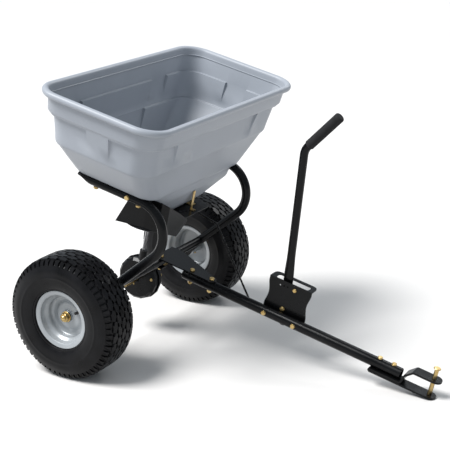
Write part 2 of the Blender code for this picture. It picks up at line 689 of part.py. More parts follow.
def hoop_path():
    """Upper arm from its flattened rear end, front arc, and a straight lower arm to the axle."""
    path = [(HOOP_REAR, HOOP_HEIGHT + 0.009), (HOOP_REAR + 0.022, HOOP_HEIGHT + 0.0045),
            (HOOP_REAR + 0.046, HOOP_HEIGHT), (HOOP_FRONT_ARC - 0.02, HOOP_HEIGHT)]
    steps = 8
    for k in range(steps + 1):
        a = math.pi / 2 - (math.pi - ARM_ANGLE) * k / steps
        path.append((HOOP_FRONT_ARC + HOOP_BEND * math.cos(a), HOOP_CENTRE_Z + HOOP_BEND * math.sin(a)))
    for distance in (0.060, 0.042, 0.024, 0.0, -0.012, LUG_HALF_WIDTH * -0.92):
        path.append((distance * math.cos(ARM_ANGLE), distance * math.sin(ARM_ANGLE)))
    return [Vector((x, 0.0, z)) for x, z in path]


def build_hoop(prefix, side, parent):
    path = hoop_path()
    r = HOOP_RADIUS
    full = (r, r)
    lug = (LUG_HALF_THICKNESS, LUG_HALF_WIDTH)
    ends = [full, (LUG_HALF_THICKNESS + 0.004, r + 0.003), lug, lug, (LUG_HALF_THICKNESS, LUG_HALF_WIDTH * 0.86),
            (LUG_HALF_THICKNESS, LUG_HALF_WIDTH * 0.45)]
    pinched = [(r + 0.003, r - 0.009), (r + 0.0015, r - 0.0045)]
    sizes = pinched + [full] * (len(path) - len(ends) - len(pinched)) + ends
    outer = swept_rings(path, sizes)
    hollow = path[:-len(ends)]
    bore = swept_rings(hollow, [(across - HOOP_WALL, up - HOOP_WALL) for across, up in sizes[:len(hollow)]])
    bm = bmesh.new()
    skin(bm, list(reversed(bore)) + outer, closed=False)
    name = f"{prefix}_hoop"
    hoop = add_piece(name, bm, "black_coat", parent, (0, side * HOOP_OFFSET, 0))
    bush_hole = AXLE_RADIUS + RUNNING + BUSHING_WALL + GAP
    centre_y = side * HOOP_OFFSET
    cut_hole(hoop, (0, centre_y, 0), (0, 1, 0), bush_hole, 0.04, sides=16)
    outside = bush_hole + 0.004
    bore = AXLE_RADIUS + RUNNING
    end = LUG_HALF_THICKNESS + GAP
    bush = [(-end - BUSHING_FLANGE, bore), (-end - BUSHING_FLANGE, outside), (-end, outside),
            (-end, bush_hole - GAP), (end, bush_hole - GAP), (end, bore)]
    add_piece(f"{prefix}_axle_bushing", turned(outboard(bush, side), sides=16), "nylon", parent, (0, centre_y, 0))
    return hoop


def build_cross_tube(parent):
    r = CROSS_RADIUS
    tube = turned([(-CROSS_END, r - 0.002), (-CROSS_END, r), (CROSS_END, r), (CROSS_END, r - 0.002)], sides=ROUND)
    tube = add_piece("cross_tube", tube, "black_coat", parent, (CROSS_X, 0, CROSS_HEIGHT))
    cut_hole(tube, (CROSS_X, 0, CROSS_HEIGHT), (0, 0, 1), BOLT_RADIUS + BOLT_CLEARANCE, 0.05)


def build_tow_plate(parent):
    far = PLATE_FAR
    outline = [(PLATE_REAR, -PLATE_NEAR), (PLATE_FRONT - 0.018, -PLATE_NEAR + 0.002), (PLATE_FRONT - 0.004, -0.012),
               (PLATE_FRONT, 0.0), (PLATE_FRONT - 0.005, 0.010), (PLATE_FRONT - 0.014, 0.016),
               (PLATE_REAR + 0.040, far), (PLATE_REAR, far)]
    bolts = plate_bolt_places()
    hole = BOLT_RADIUS + BOLT_CLEARANCE
    holes = [circle((x, 0.0), hole) for x in (*bolts, CROSS_X)]
    plate = flat_plate(outline, holes, TOW_TOP + GAP, PLATE_TOP)
    add_piece("tow_plate", plate, "black_coat", parent, smooth=False)
    depth = PLATE_TOP - TOW_BOTTOM
    for name, x in zip(("plate_bolt_rear", "plate_bolt_front"), bolts):
        bolt(name, parent, (x, 0, PLATE_TOP), (0, 0, 1), depth)
    lug_base = CROSS_HEIGHT - CROSS_RADIUS - GAP - 0.006
    bolt("cross_bolt", parent, (CROSS_X, 0, PLATE_TOP), (0, 0, 1), PLATE_TOP - lug_base)


def plate_bolt_places():
    return (TOW_REAR + 0.026, PLATE_FRONT - 0.018)


def hitch_bolt_places():
    return (STRAP_REAR + 0.023, TOW_FRONT - 0.027)


def build_tow_tube(parent):
    r = TOW_RADIUS
    points = [Vector((TOW_REAR, 0, 0)), Vector((TOW_FRONT, 0, 0))]
    outer = swept_rings(points, [(r, r)] * 2, sides=12)
    inner = swept_rings(points, [(r - TOW_WALL, r - TOW_WALL)] * 2, sides=12)
    bm = bmesh.new()
    skin(bm, outer + list(reversed(inner)), closed=True)
    tube = add_piece("tow_tube", bm, "black_coat", parent, (0, 0, TOW_HEIGHT))
    hole = BOLT_RADIUS + BOLT_CLEARANCE
    for x in (*plate_bolt_places(), *hitch_bolt_places()):
        cut_hole(tube, (x, 0, TOW_HEIGHT), (0, 0, 1), hole, 0.05)
    for x in bracket_bolt_places():
        cut_hole(tube, (x, 0, TOW_HEIGHT), (0, 1, 0), hole, 0.05)


# ----------------------------------------------------------------------- hitch

def strap_end(front, half, steps=6):
    """Right-hand rounded end of a strap, as (x, half width) stations."""
    return [(front - half + half * math.sin(math.radians(90 * k / steps)),
             half * math.cos(math.radians(90 * k / steps))) for k in range(steps)]


def build_hitch(parent):
    half = STRAP_WIDTH / 2
    bolts = hitch_bolt_places()
    hole = BOLT_RADIUS + BOLT_CLEARANCE
    corner = 0.006
    ends = strap_end(STRAP_FRONT, half)
    outline = [(STRAP_REAR, half - corner), (STRAP_REAR, corner - half), (STRAP_REAR + corner, -half)]
    outline += [(x, -y) for x, y in ends] + [(STRAP_FRONT, 0.0)] + [(x, y) for x, y in reversed(ends)]
    outline.append((STRAP_REAR + corner, half))
    holes = [circle((x, 0.0), hole) for x in bolts] + [circle((PIN_X, 0.0), PIN_RADIUS + RUNNING, 16)]
    add_piece("hitch_lower_strap", flat_plate(outline, holes, LOWER_BASE, LOWER_TOP), "black_coat", parent,
              smooth=False)

    t = STRAP_THICKNESS / 2
    foot = FOOT_BASE + t
    arm = UPPER_BASE + t
    front = STRAP_FRONT + 0.004
    path = rounded_path([(STRAP_REAR + 0.005, 0, foot), (CLEVIS_WEB + t, 0, foot), (CLEVIS_WEB + t + 0.006, 0, foot + 0.026),
                         (CLEVIS_WEB + t + 0.028, 0, arm), (front - half, 0, arm)], 0.0065, steps=4)
    stations = [(point, half) for point in path]
    stations += [(Vector((x, 0, arm)), max(width, 0.002)) for x, width in strap_end(front, half)[1:]]
    stations.append((Vector((front, 0, arm)), 0.002))
    rings = []
    for i, (point, width) in enumerate(stations):
        ahead = stations[min(i + 1, len(stations) - 1)][0] - point
        behind = point - stations[max(i - 1, 0)][0]
        along = (ahead.normalized() + behind.normalized()).normalized()
        up = Vector((-along.z, 0, along.x)) * t
        side = Vector((0, width, 0))
        rings.append([point + up + side, point + up - side, point - up - side, point - up + side])
    bm = bmesh.new()
    skin(bm, rings)
    upper = add_piece("hitch_upper_strap", bm, "black_coat", parent, smooth=False)
    for x in bolts:
        cut_hole(upper, (x, 0, foot), (0, 0, 1), hole, 0.02)
    cut_hole(upper, (PIN_X, 0, arm), (0, 0, 1), PIN_RADIUS + RUNNING, 0.02, sides=16)
    for name, x in zip(("hitch_bolt_rear", "hitch_bolt_front"), bolts):
        bolt(name, parent, (x, 0, TOW_TOP), (0, 0, 1), TOW_TOP - LOWER_BASE, nut=0.004, tip=0.0)


def build_hitch_pin(parent):
    """Drawn around its own axis: the parent empty stands on the lower strap's underside."""
    top = UPPER_TOP - LOWER_BASE + PIN_PROUD
    head = 0.0035
    profile = [(0.001, 0.0), (0.001, PIN_RADIUS - 0.001), (0.003, PIN_RADIUS), (top - head, PIN_RADIUS),
               (top - head, 0.0105), (top - 0.0008, 0.0105), (top, 0.0096), (top, 0.0)]
    add_piece("hitch_pin", turned(profile, axis="Z", sides=20, solid=True), "zinc", parent)


# -------------------------------------------------------------- lever and gate

def bracket_bolt_places():
    return (BRACKET_MIDDLE - BRACKET_BOLT_SPREAD, BRACKET_MIDDLE + BRACKET_BOLT_SPREAD)


def build_lever_bracket(parent):
    face_top = BRACKET_TOP - BRACKET_THICKNESS
    rise = face_top - TOW_TOP
    half = BRACKET_HALF_WIDTH
    right = [(half * 0.46, TOW_BOTTOM - 0.008), (half * 0.70, TOW_BOTTOM), (half, TOW_TOP - 0.012),
             (half, TOW_TOP + rise * 0.05), (BRACKET_WAIST + 0.001, TOW_TOP + rise * 0.30),
             (BRACKET_WAIST, TOW_TOP + rise * 0.45), (BRACKET_WAIST + 0.001, TOW_TOP + rise * 0.60),
             (half - 0.003, TOW_TOP + rise * 0.80), (half, TOW_TOP + rise * 0.92), (half, BRACKET_TOP)]
    middle = BRACKET_MIDDLE
    outline = [(middle + x, z) for x, z in right] + [(middle - x, z) for x, z in reversed(right)]
    hole = BOLT_RADIUS + BOLT_CLEARANCE
    holes = [circle((x, TOW_HEIGHT), hole) for x in bracket_bolt_places()]
    holes.append(circle((LEVER_PIVOT_X, LEVER_PIVOT_Z), hole))
    holes.append(circle((STOP_X, STOP_Z), hole))
    face = flat_plate(outline, holes, 0.0, BRACKET_THICKNESS)
    stand_up(face, BRACKET_FACE)
    bracket = add_piece("lever_bracket", face, "black_coat", parent, smooth=False)

    near = BRACKET_FACE
    far = BRACKET_FACE + BRACKET_FLANGE
    corner = 0.019
    top = rounded_rectangle(half, BRACKET_FLANGE, corner, 0.0, shift=(middle, near))
    top = [(p.x, p.y) for p in top if p.y > near + corner * 0.5]
    top = [(middle + half, near + 0.001)] + top + [(middle - half, near + 0.001)]
    slot_near = LEVER_PLANE - SLOT_WIDTH / 2
    end = SLOT_WIDTH * 0.32
    slot = rounded_rectangle(SLOT_HALF_LENGTH, SLOT_WIDTH / 2, end, 0.0, steps=3,
                             shift=(middle + 0.001, slot_near + SLOT_WIDTH / 2))
    flange = flat_plate(top, [[(p.x, p.y) for p in slot]], face_top, BRACKET_TOP)
    boolean(bracket, add_piece("lever_bracket_flange", flange, "black_coat", parent, smooth=False), "UNION")

    back = BRACKET_FACE + BRACKET_THICKNESS
    for name, x in zip(("bracket_bolt_rear", "bracket_bolt_front"), bracket_bolt_places()):
        bolt(name, parent, (x, -TOW_RADIUS, TOW_HEIGHT), (0, -1, 0), back + TOW_RADIUS, nut=0.005, tip=0.0)
    through = LEVER_PLANE + FLAT_HALF_THICKNESS + 0.0006 - BRACKET_FACE
    bolt("lever_pivot_bolt", parent, (LEVER_PIVOT_X, BRACKET_FACE, LEVER_PIVOT_Z), (0, -1, 0), through,
         head=0.0045, tip=0.001)
    bolt("lever_stop_bolt", parent, (STOP_X, BRACKET_FACE, STOP_Z), (0, -1, 0),
         BRACKET_THICKNESS + 0.001, flats=0.011, head=0.004, nut=0.006, tip=LEVER_PLANE - back)


def lever_point(distance, along=0.0):
    """A point on the lever's axis, in the frame of its pivot."""
    lean = math.radians(LEVER_LEAN)
    return Vector((-distance * math.sin(lean) + along * math.cos(lean), 0.0,
                   distance * math.cos(lean) + along * math.sin(lean)))


def build_lever(parent):
    grip_lean = math.radians(GRIP_LEAN)
    bend = lever_point(LEVER_LENGTH)
    tip = bend + Vector((math.sin(grip_lean), 0, math.cos(grip_lean))) * (GRIP_LENGTH + 0.013)
    foot = [lever_point(d) for d in (-LEVER_ARM - 0.011, -LEVER_ARM - 0.007, -LEVER_ARM, 0.0, 0.115)]
    upper = rounded_path([lever_point(0.165), bend, tip], 0.045, steps=6)
    path = foot + upper
    r = LEVER_RADIUS
    flat = (FLAT_HALF_THICKNESS, FLAT_HALF_WIDTH)
    sizes = [(FLAT_HALF_THICKNESS * 0.9, 0.006), (FLAT_HALF_THICKNESS, 0.011), flat, flat, flat]
    sizes += [(r, r)] * len(upper)
    outer = swept_rings(path, sizes)
    inner = swept_rings(upper, [(r - LEVER_WALL, r - LEVER_WALL)] * len(upper))
    bm = bmesh.new()
    skin(bm, outer + list(reversed(inner)))
    lever = add_piece("lever", bm, "black_coat", parent)
    cut_hole(lever, (0, 0, 0), (0, 1, 0), BOLT_RADIUS + RUNNING, 0.04, sides=16)
    eye = lever_point(-LEVER_ARM)
    cut_hole(lever, eye, (0, 1, 0), ROD_RADIUS + ROD_PLAY, 0.04)

    start = tip - Vector((math.sin(grip_lean), 0, math.cos(grip_lean))) * (GRIP_LENGTH - 0.006)
    sleeve = GRIP_LENGTH
    bore = (r + GAP) / math.cos(math.pi / 12)
    depth = sleeve - 0.005
    profile = [(0.0, bore), (0.0, GRIP_RADIUS - 0.001), (0.003, GRIP_RADIUS), (sleeve - 0.004, GRIP_RADIUS),
               (sleeve, GRIP_RADIUS - 0.005), (sleeve, 0.0), (depth, 0.0), (depth, bore)]
    grip = bmesh.new()
    verts = [grip.verts.new((radius, 0, along)) for along, radius in profile]
    edges = [grip.edges.new(pair) for pair in zip(verts, verts[1:])]
    edges.append(grip.edges.new((verts[-1], verts[0])))
    edges.remove(grip.edges.get((verts[5], verts[6])))
    bmesh.ops.spin(grip, geom=verts + edges, axis=(0, 0, 1), cent=(0, 0, 0), angle=math.tau, steps=12, use_merge=True)
    bmesh.ops.remove_doubles(grip, verts=grip.verts, dist=1e-6)
    loose = [edge for edge in grip.edges if not edge.link_faces]
    bmesh.ops.delete(grip, geom=loose, context="EDGES")
    bmesh.ops.transform(grip, matrix=Matrix.Translation(start) @ Matrix.Rotation(grip_lean, 4, "Y"), verts=grip.verts)
    add_piece("lever_grip", grip, "foam", parent)


def build_gate(parent):
    """The sliding gate under the hopper floor, and the rod from the lever. The eye of the
    rod sits in the lever's lower hole with play, as that hole moves on a small arc."""
    rear = OUTLET_REAR - 2 * GATE_MARGIN
    front = OUTLET_FRONT + GATE_MARGIN / 4
    half = OUTLET_HALF_BREADTH + GATE_MARGIN
    tongue = 0.011
    near = ROD_PLANE - tongue
    far = ROD_PLANE + tongue
    outline = [(rear, -half), (front, -half), (front, near), (ROD_END_X + tongue, near), (ROD_END_X + tongue, far),
               (front - 0.012, far), (front - 0.012, half), (rear, half)]
    gate = flat_plate(outline, [circle((ROD_END_X, ROD_PLANE), ROD_RADIUS + GAP)], GATE_BASE, GATE_TOP)
    add_piece("gate", gate, "zinc", parent, smooth=False)
    eye = lever_point(-LEVER_ARM) + Vector((LEVER_PIVOT_X, 0, LEVER_PIVOT_Z))
    run = OUTLET_PLATE_BASE - 0.010
    corners = [(ROD_END_X, ROD_PLANE, GATE_TOP), (ROD_END_X, ROD_PLANE, run),
               (ROD_END_X + 0.100, ROD_PLANE, run - 0.014), (eye.x - 0.125, ROD_PLANE, eye.z + 0.010),
               (eye.x - 0.100, ROD_PLANE, eye.z), (eye.x, ROD_PLANE, eye.z),
               (eye.x, LEVER_PLANE - FLAT_HALF_THICKNESS, eye.z)]
    path = rounded_path(corners, 0.0045, steps=4)
    bm = bmesh.new()
    skin(bm, swept_rings(path, [(ROD_RADIUS, ROD_RADIUS)] * len(path), sides=8))
    add_piece("control_rod", bm, "black_coat", parent)


# ---------------------------------------------------------------------- hopper

def hopper_levels():
    """Outer skin from the rolled rim down: half length, half breadth, corner, height."""
    length = RIM_HALF_LENGTH
    breadth = RIM_HALF_BREADTH
    roll = RIM_ROLL
    corner = HOPPER_CORNER
    neck = (length - NECK_INSET, breadth - NECK_INSET)
    return [
        (length - roll, breadth - roll, corner - roll, RIM_HEIGHT + roll),
        (length - roll * 0.3, breadth - roll * 0.3, corner - roll * 0.3, RIM_HEIGHT + roll * 0.7),
        (length, breadth, corner, RIM_HEIGHT),
        (length - roll * 0.3, breadth - roll * 0.3, corner - roll * 0.3, RIM_HEIGHT - roll * 0.7),
        (length - roll, breadth - roll, corner - roll, RIM_HEIGHT - roll),
        (*neck, corner - NECK_INSET, RIM_HEIGHT - roll),
        (neck[0] - 0.004, neck[1] - 0.004, corner - NECK_INSET, NECK_BASE + 0.003),
        (neck[0] - 0.009, neck[1] - 0.009, corner - NECK_INSET, NECK_BASE - 0.003),
        (BAND_HALF_LENGTH, BAND_HALF_BREADTH, corner - 0.020, BAND_BASE),
        (BAND_HALF_LENGTH - 0.006, BAND_HALF_BREADTH - 0.007, corner - 0.024, BAND_BASE - 0.008),
        (LEDGE_HALF_LENGTH, LEDGE_HALF_BREADTH, 0.050, LEDGE_HEIGHT + 0.006),
        (LEDGE_HALF_LENGTH - 0.006, LEDGE_HALF_BREADTH - 0.007, 0.046, LEDGE_HEIGHT),
        (SUMP_HALF_LENGTH + 0.009, SUMP_HALF_BREADTH, 0.030, LEDGE_HEIGHT),
        (SUMP_HALF_LENGTH, SUMP_HALF_BREADTH, 0.030, SUMP_BASE),
        (FUNNEL_HALF_LENGTH, FUNNEL_HALF_BREADTH, 0.030, FUNNEL_HEIGHT),
        (FLOOR_HALF_LENGTH, FLOOR_HALF_BREADTH, 0.024, FLOOR_HEIGHT),
    ]


def build_hopper(parent):
    levels = hopper_levels()
    outer = [rounded_rectangle(*level) for level in levels]
    wall = HOPPER_WALL
    inner = []
    for half_x, half_y, corner, z in [levels[0]] + levels[6:]:
        step = 0.002 if (half_x, z) == (levels[0][0], levels[0][3]) else 0.0
        rise = 0.0 if step else wall * 0.8
        inside = 0.012 if step else wall
        inner.append(rounded_rectangle(half_x - inside, half_y - inside, corner - 0.004, z + rise))
    floor = inner[-1]
    middle = [Vector((p.x, p.y, FLOOR_HEIGHT + wall)) for p in floor]
    inner[-1] = middle
    bm = bmesh.new()
    skin(bm, list(reversed(outer)) + inner)
    hopper = add_piece("hopper", bm, "poly", parent)
    cut_hole(hopper, (0, 0, FLOOR_HEIGHT), (0, 0, 1), SHAFT_RADIUS + 0.004, 0.05, sides=16)
    port = bmesh.new()
    made = bmesh.ops.create_cube(port, size=1.0)
    size = (OUTLET_FRONT - OUTLET_REAR, 2 * OUTLET_HALF_BREADTH, 0.05)
    middle = ((OUTLET_FRONT + OUTLET_REAR) / 2, 0.0, FLOOR_HEIGHT)
    bmesh.ops.transform(port, matrix=Matrix.Translation(middle) @ Matrix.Diagonal((*size, 1.0)), verts=made["verts"])
    boolean(hopper, add_piece("hopper_port", port, "poly", parent, smooth=False), "DIFFERENCE")
    return hopper


def build_outlet_plate(parent):
    """Carries the gate, and the shaft's upper bushing."""
    front = OUTLET_PLATE_FRONT
    rear = OUTLET_PLATE_REAR
    half = OUTLET_PLATE_HALF_BREADTH
    cut = OUTLET_PLATE_CHAMFER
    outline = [(rear, -half + cut), (rear + cut, -half), (front - cut, -half), (front, -half + cut),
               (front, half - cut), (front - cut, half), (rear + cut, half), (rear, half - cut)]
    port = [(OUTLET_REAR, -OUTLET_HALF_BREADTH), (OUTLET_FRONT, -OUTLET_HALF_BREADTH),
            (OUTLET_FRONT, OUTLET_HALF_BREADTH), (OUTLET_REAR, OUTLET_HALF_BREADTH)]
    bush = SHAFT_RADIUS + RUNNING + BUSHING_WALL
    rod_slot = rounded_rectangle(0.014, 0.006, 0.0055, 0.0, steps=3, shift=(ROD_END_X - 0.004, ROD_PLANE))
    screws = [(-0.075, -0.050), (0.038, 0.050)]
    hole = 0.003 + BOLT_CLEARANCE
    holes = [port, circle((0, 0), bush + GAP, 16), [(p.x, p.y) for p in rod_slot]]
    holes += [circle(place, hole) for place in screws]
    plate = flat_plate(outline, holes, OUTLET_PLATE_BASE, OUTLET_PLATE_TOP)
    add_piece("outlet_plate", plate, "black_coat", parent, smooth=False)
    low = OUTLET_PLATE_BASE - GAP
    bore = SHAFT_RADIUS + RUNNING
    ring = [(low - BUSHING_FLANGE, bore), (low - BUSHING_FLANGE, bush + 0.005), (low, bush + 0.005), (low, bush),
            (OUTLET_PLATE_TOP, bush), (OUTLET_PLATE_TOP, bore)]
    add_piece("upper_shaft_bushing", turned(ring, axis="Z", sides=16), "nylon", parent)
    return screws


def build_plate_spacers(parent, screws, hopper):
    """Screws that hang the outlet plate from the hopper floor; the gate slides between them."""
    radius = 0.003
    for k, (x, y) in enumerate(screws):
        inside = FLOOR_HEIGHT + HOPPER_WALL
        cut_hole(hopper, (x, y, FLOOR_HEIGHT), (0, 0, 1), radius + BOLT_CLEARANCE, 0.03)
        bolt(f"outlet_screw_{k + 1}", parent, (x, y, inside), (0, 0, 1), inside - OUTLET_PLATE_BASE, radius=radius,
             flats=0.010, head=0.004, nut=0.005, tip=0.001)


def build_hanger(parent):
    """Upright strap in front of the sump, standing on the outlet plate."""
    half = 0.006
    y = 0.010
    face = SUMP_HALF_LENGTH + GAP
    low = OUTLET_PLATE_TOP + GAP
    t = 0.002
    side = [(face, low), (face + 0.014, low), (face + 0.014, low + t), (face + t, low + t), (face + t, SUMP_BASE),
            (face, SUMP_BASE)]
    bm = bmesh.new()
    skin(bm, [[Vector((x, y + s * half, z)) for x, z in side] for s in (-1, 1)])
    add_piece("outlet_hanger", bm, "zinc", parent, smooth=False)


def build_deflector(parent, hoop, hopper):
    """Bent sheet inside the right hoop, bolted through the hoop and the sump wall."""
    t = DEFLECTOR_THICKNESS
    outer = -(HOOP_OFFSET - HOOP_RADIUS - GAP)
    top = LEDGE_HEIGHT - 0.004
    lean = 0.042
    base = DEFLECTOR_BASE
    wing = DEFLECTOR_WING_X
    stations = [(0.017, outer, base, top), (0.112, outer, base + 0.017, top),
                (wing - 0.015, outer + 0.018, base + 0.011, top - 0.006), (wing, outer + 0.038, base + 0.005, top - 0.018),
                (wing, outer + 0.107, base - 0.024, top - 0.059), (wing, outer + 0.153, base + 0.012, top - 0.088)]
    rings = []
    for i, (x, y, low, high) in enumerate(stations):
        before = Vector(stations[max(i - 1, 0)][:2])
        after = Vector(stations[min(i + 1, len(stations) - 1)][:2])
        along = (after - before).normalized()
        normal = Vector((-along.y, along.x, 0.0)) * t
        foot = Vector((x, y, low))
        head = Vector((x + (lean if i == 0 else 0.0), y, high))
        rings.append([foot, head, head + normal, foot + normal])
    bm = bmesh.new()
    skin(bm, rings)
    piece = add_piece("deflector", bm, "black_coat", parent, smooth=False)
    hole = BOLT_RADIUS + BOLT_CLEARANCE
    middle = (DEFLECTOR_BOLT_X, outer, HOOP_HEIGHT)
    for other in (piece, hoop, hopper):
        cut_hole(other, middle, (0, 1, 0), hole, 0.08)
    inside = SUMP_HALF_BREADTH - HOPPER_WALL - 0.001
    outside = HOOP_OFFSET + HOOP_RADIUS
    bolt("deflector_bolt", parent, (DEFLECTOR_BOLT_X, -outside, HOOP_HEIGHT), (0, -1, 0), outside - inside,
         nut=0.005, tip=0.001)


def hopper_bolt_places():
    return (-0.056, 0.092)


def build_hopper_bolts(parent, hopper, hoops):
    """Each goes down through the hopper's ledge and a hoop's upper arm."""
    hole = BOLT_RADIUS + BOLT_CLEARANCE
    seat = LEDGE_HEIGHT + HOPPER_WALL * 0.8
    for (prefix, side), hoop in zip((("right", -1), ("left", 1)), hoops):
        for end, x in zip(("rear", "front"), hopper_bolt_places()):
            middle = (x, side * HOOP_OFFSET, HOOP_HEIGHT)
            for piece in (hoop, hopper):
                cut_hole(piece, middle, (0, 0, 1), hole, 0.05)
            bolt(f"{prefix}_hopper_bolt_{end}", parent, (x, side * HOOP_OFFSET, seat), (0, 0, 1),
                 seat - HOOP_HEIGHT + HOOP_RADIUS, nut=0.006, tip=0.001)


# --------------------------------------------------------------------- machine

def stand_on_ground(machine):
    """Moves the machine so that the box of all its pieces stands centred on the origin."""
    bpy.context.view_layer.update()
    graph = bpy.context.evaluated_depsgraph_get()
    corners = []
    for obj in bpy.data.objects:
        if obj.type == "MESH" and not obj.hide_render:
            shape = obj.evaluated_get(graph)
            corners += [shape.matrix_world @ vert.co for vert in shape.data.vertices]
    low = Vector([min(c[i] for c in corners) for i in range(3)])
    high = Vector([max(c[i] for c in corners) for i in range(3)])
    machine.location -= Vector(((low.x + high.x) / 2, (low.y + high.y) / 2, low.z))


def build():
    clear_scene()
    machine = add_empty("machine", (0, 0, TYRE_RADIUS), tilt=PITCH)
    axle_axis = add_empty("axle_axis", (0, 0, 0), machine, tilt=-PITCH)
    left_wheel = add_empty("left_wheel_axis", (0, WHEEL_OFFSET, 0), axle_axis)
    right_wheel = add_empty("right_wheel_axis", (0, -WHEEL_OFFSET, 0), machine, tilt=-PITCH)
    shaft_axis = add_empty("shaft_axis", (0, 0, 0), machine)
    gear_axis = add_empty("gear_axis", (0, 0, 0), axle_axis, tilt=PITCH)
    lever_axis = add_empty("lever_axis", (LEVER_PIVOT_X, LEVER_PLANE, LEVER_PIVOT_Z), machine)
    gate_axis = add_empty("gate_axis", (0, 0, 0), machine)
    pin_axis = add_empty("pin_axis", (PIN_X, 0, LOWER_BASE), machine)

    build_wheel("left", 1, AXLE_RADIUS + GAP, left_wheel)
    build_wheel("right", -1, HUB_BORE, right_wheel)
    build_wheel_bushing(right_wheel, -1)
    build_axle(axle_axis)
    build_axle_ends(axle_axis)
    build_drive_pin(axle_axis, bpy.data.objects["axle"], bpy.data.objects["left_rim"])
    build_ring_gear(gear_axis)
    build_pinion(shaft_axis)
    build_impeller(shaft_axis)
    build_gear_case(machine)

    hoops = [build_hoop("right", -1, machine), build_hoop("left", 1, machine)]
    build_cross_tube(machine)
    build_tow_plate(machine)
    build_tow_tube(machine)
    build_hitch(machine)
    build_hitch_pin(pin_axis)
    build_lever_bracket(machine)
    build_lever(lever_axis)
    build_gate(gate_axis)

    hopper = build_hopper(machine)
    screws = build_outlet_plate(machine)
    build_plate_spacers(machine, screws, hopper)
    build_hanger(machine)
    build_deflector(machine, hoops[0], hopper)
    build_hopper_bolts(machine, hopper, hoops)
    stand_on_ground(machine)


build()
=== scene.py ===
import json
import math

import bmesh
import bpy
from mathutils import Matrix, Vector


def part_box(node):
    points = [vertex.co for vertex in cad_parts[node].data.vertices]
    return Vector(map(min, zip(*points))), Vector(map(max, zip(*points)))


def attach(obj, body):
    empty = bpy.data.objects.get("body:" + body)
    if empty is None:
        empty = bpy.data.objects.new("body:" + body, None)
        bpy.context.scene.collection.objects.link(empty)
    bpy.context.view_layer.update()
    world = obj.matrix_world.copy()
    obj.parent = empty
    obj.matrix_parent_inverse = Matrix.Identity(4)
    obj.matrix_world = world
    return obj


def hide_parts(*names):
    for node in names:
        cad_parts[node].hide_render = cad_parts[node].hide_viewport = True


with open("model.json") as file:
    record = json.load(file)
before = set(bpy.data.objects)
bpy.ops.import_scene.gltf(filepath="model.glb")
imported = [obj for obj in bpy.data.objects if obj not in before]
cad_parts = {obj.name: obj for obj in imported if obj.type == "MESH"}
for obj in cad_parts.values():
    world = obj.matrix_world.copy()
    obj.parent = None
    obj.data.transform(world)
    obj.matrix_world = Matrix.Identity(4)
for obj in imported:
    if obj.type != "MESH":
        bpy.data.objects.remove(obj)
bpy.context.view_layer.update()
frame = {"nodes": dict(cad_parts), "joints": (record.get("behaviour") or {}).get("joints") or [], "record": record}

# Machine axes: origin at the middle of the axle, x towards the hitch, y left, z up
# the impeller shaft. The machine is parked nose down, so these are tilted.
joints = {joint["name"]: joint for joint in frame["joints"]}
machineUp = Vector(joints["impeller_spin"]["axis"]).normalized()
machineLeft = Vector((0, 1, 0))
machineForward = machineLeft.cross(machineUp)
axleCentre = Vector(joints["axle_spin"]["pos_m"])
machine = Matrix((machineForward, machineLeft, machineUp)).transposed().to_4x4()
machine.translation = axleCentre
print("frame loaded")


# A Principled material with mottled colour, uneven roughness and a fine bump.
def makeMaterial(name, settings):
    material = bpy.data.materials.new(name)
    material.use_nodes = True
    nodes = material.node_tree.nodes
    links = material.node_tree.links
    shader = nodes["Principled BSDF"]
    place = nodes.new("ShaderNodeTexCoord")

    def noiseNode(scale, detail=3.0):
        node = nodes.new("ShaderNodeTexNoise")
        node.inputs["Scale"].default_value = scale
        node.inputs["Detail"].default_value = detail
        links.new(place.outputs["Object"], node.inputs["Vector"])
        return node

    def spread(source, low, high):
        node = nodes.new("ShaderNodeMapRange")
        node.inputs["From Min"].default_value = 0.3
        node.inputs["From Max"].default_value = 0.7
        node.inputs["To Min"].default_value = low
        node.inputs["To Max"].default_value = high
        links.new(source.outputs["Fac"], node.inputs["Value"])
        return node

    patches = noiseNode(settings.get("patchScale", 9.0))
    grain = noiseNode(settings["grainScale"], detail=4.0)
    ramp = nodes.new("ShaderNodeValToRGB")
    ramp.color_ramp.elements[0].position = 0.32
    ramp.color_ramp.elements[1].position = 0.68
    ramp.color_ramp.elements[0].color = (*settings["dark"], 1.0)
    ramp.color_ramp.elements[1].color = (*settings["light"], 1.0)
    links.new(patches.outputs["Fac"], ramp.inputs["Fac"])
    speckle = spread(grain, 1.0 - settings["speckle"], 1.0 + settings["speckle"])
    tint = nodes.new("ShaderNodeVectorMath")
    tint.operation = "SCALE"
    links.new(ramp.outputs["Color"], tint.inputs[0])
    links.new(speckle.outputs["Result"], tint.inputs["Scale"])
    links.new(tint.outputs["Vector"], shader.inputs["Base Color"])
    rough = spread(patches, *settings["roughness"])
    links.new(rough.outputs["Result"], shader.inputs["Roughness"])
    bump = nodes.new("ShaderNodeBump")
    bump.inputs["Strength"].default_value = settings["bump"]
    bump.inputs["Distance"].default_value = settings["bumpDistance"]
    links.new(grain.outputs["Fac"], bump.inputs["Height"])
    links.new(bump.outputs["Normal"], shader.inputs["Normal"])
    shader.inputs["Metallic"].default_value = settings.get("metallic", 0.0)
    shader.inputs["Specular IOR Level"].default_value = settings.get("specular", 0.5)
    shader.inputs["Coat Weight"].default_value = settings.get("coat", 0.0)
    shader.inputs["Coat Roughness"].default_value = 0.2
    return material


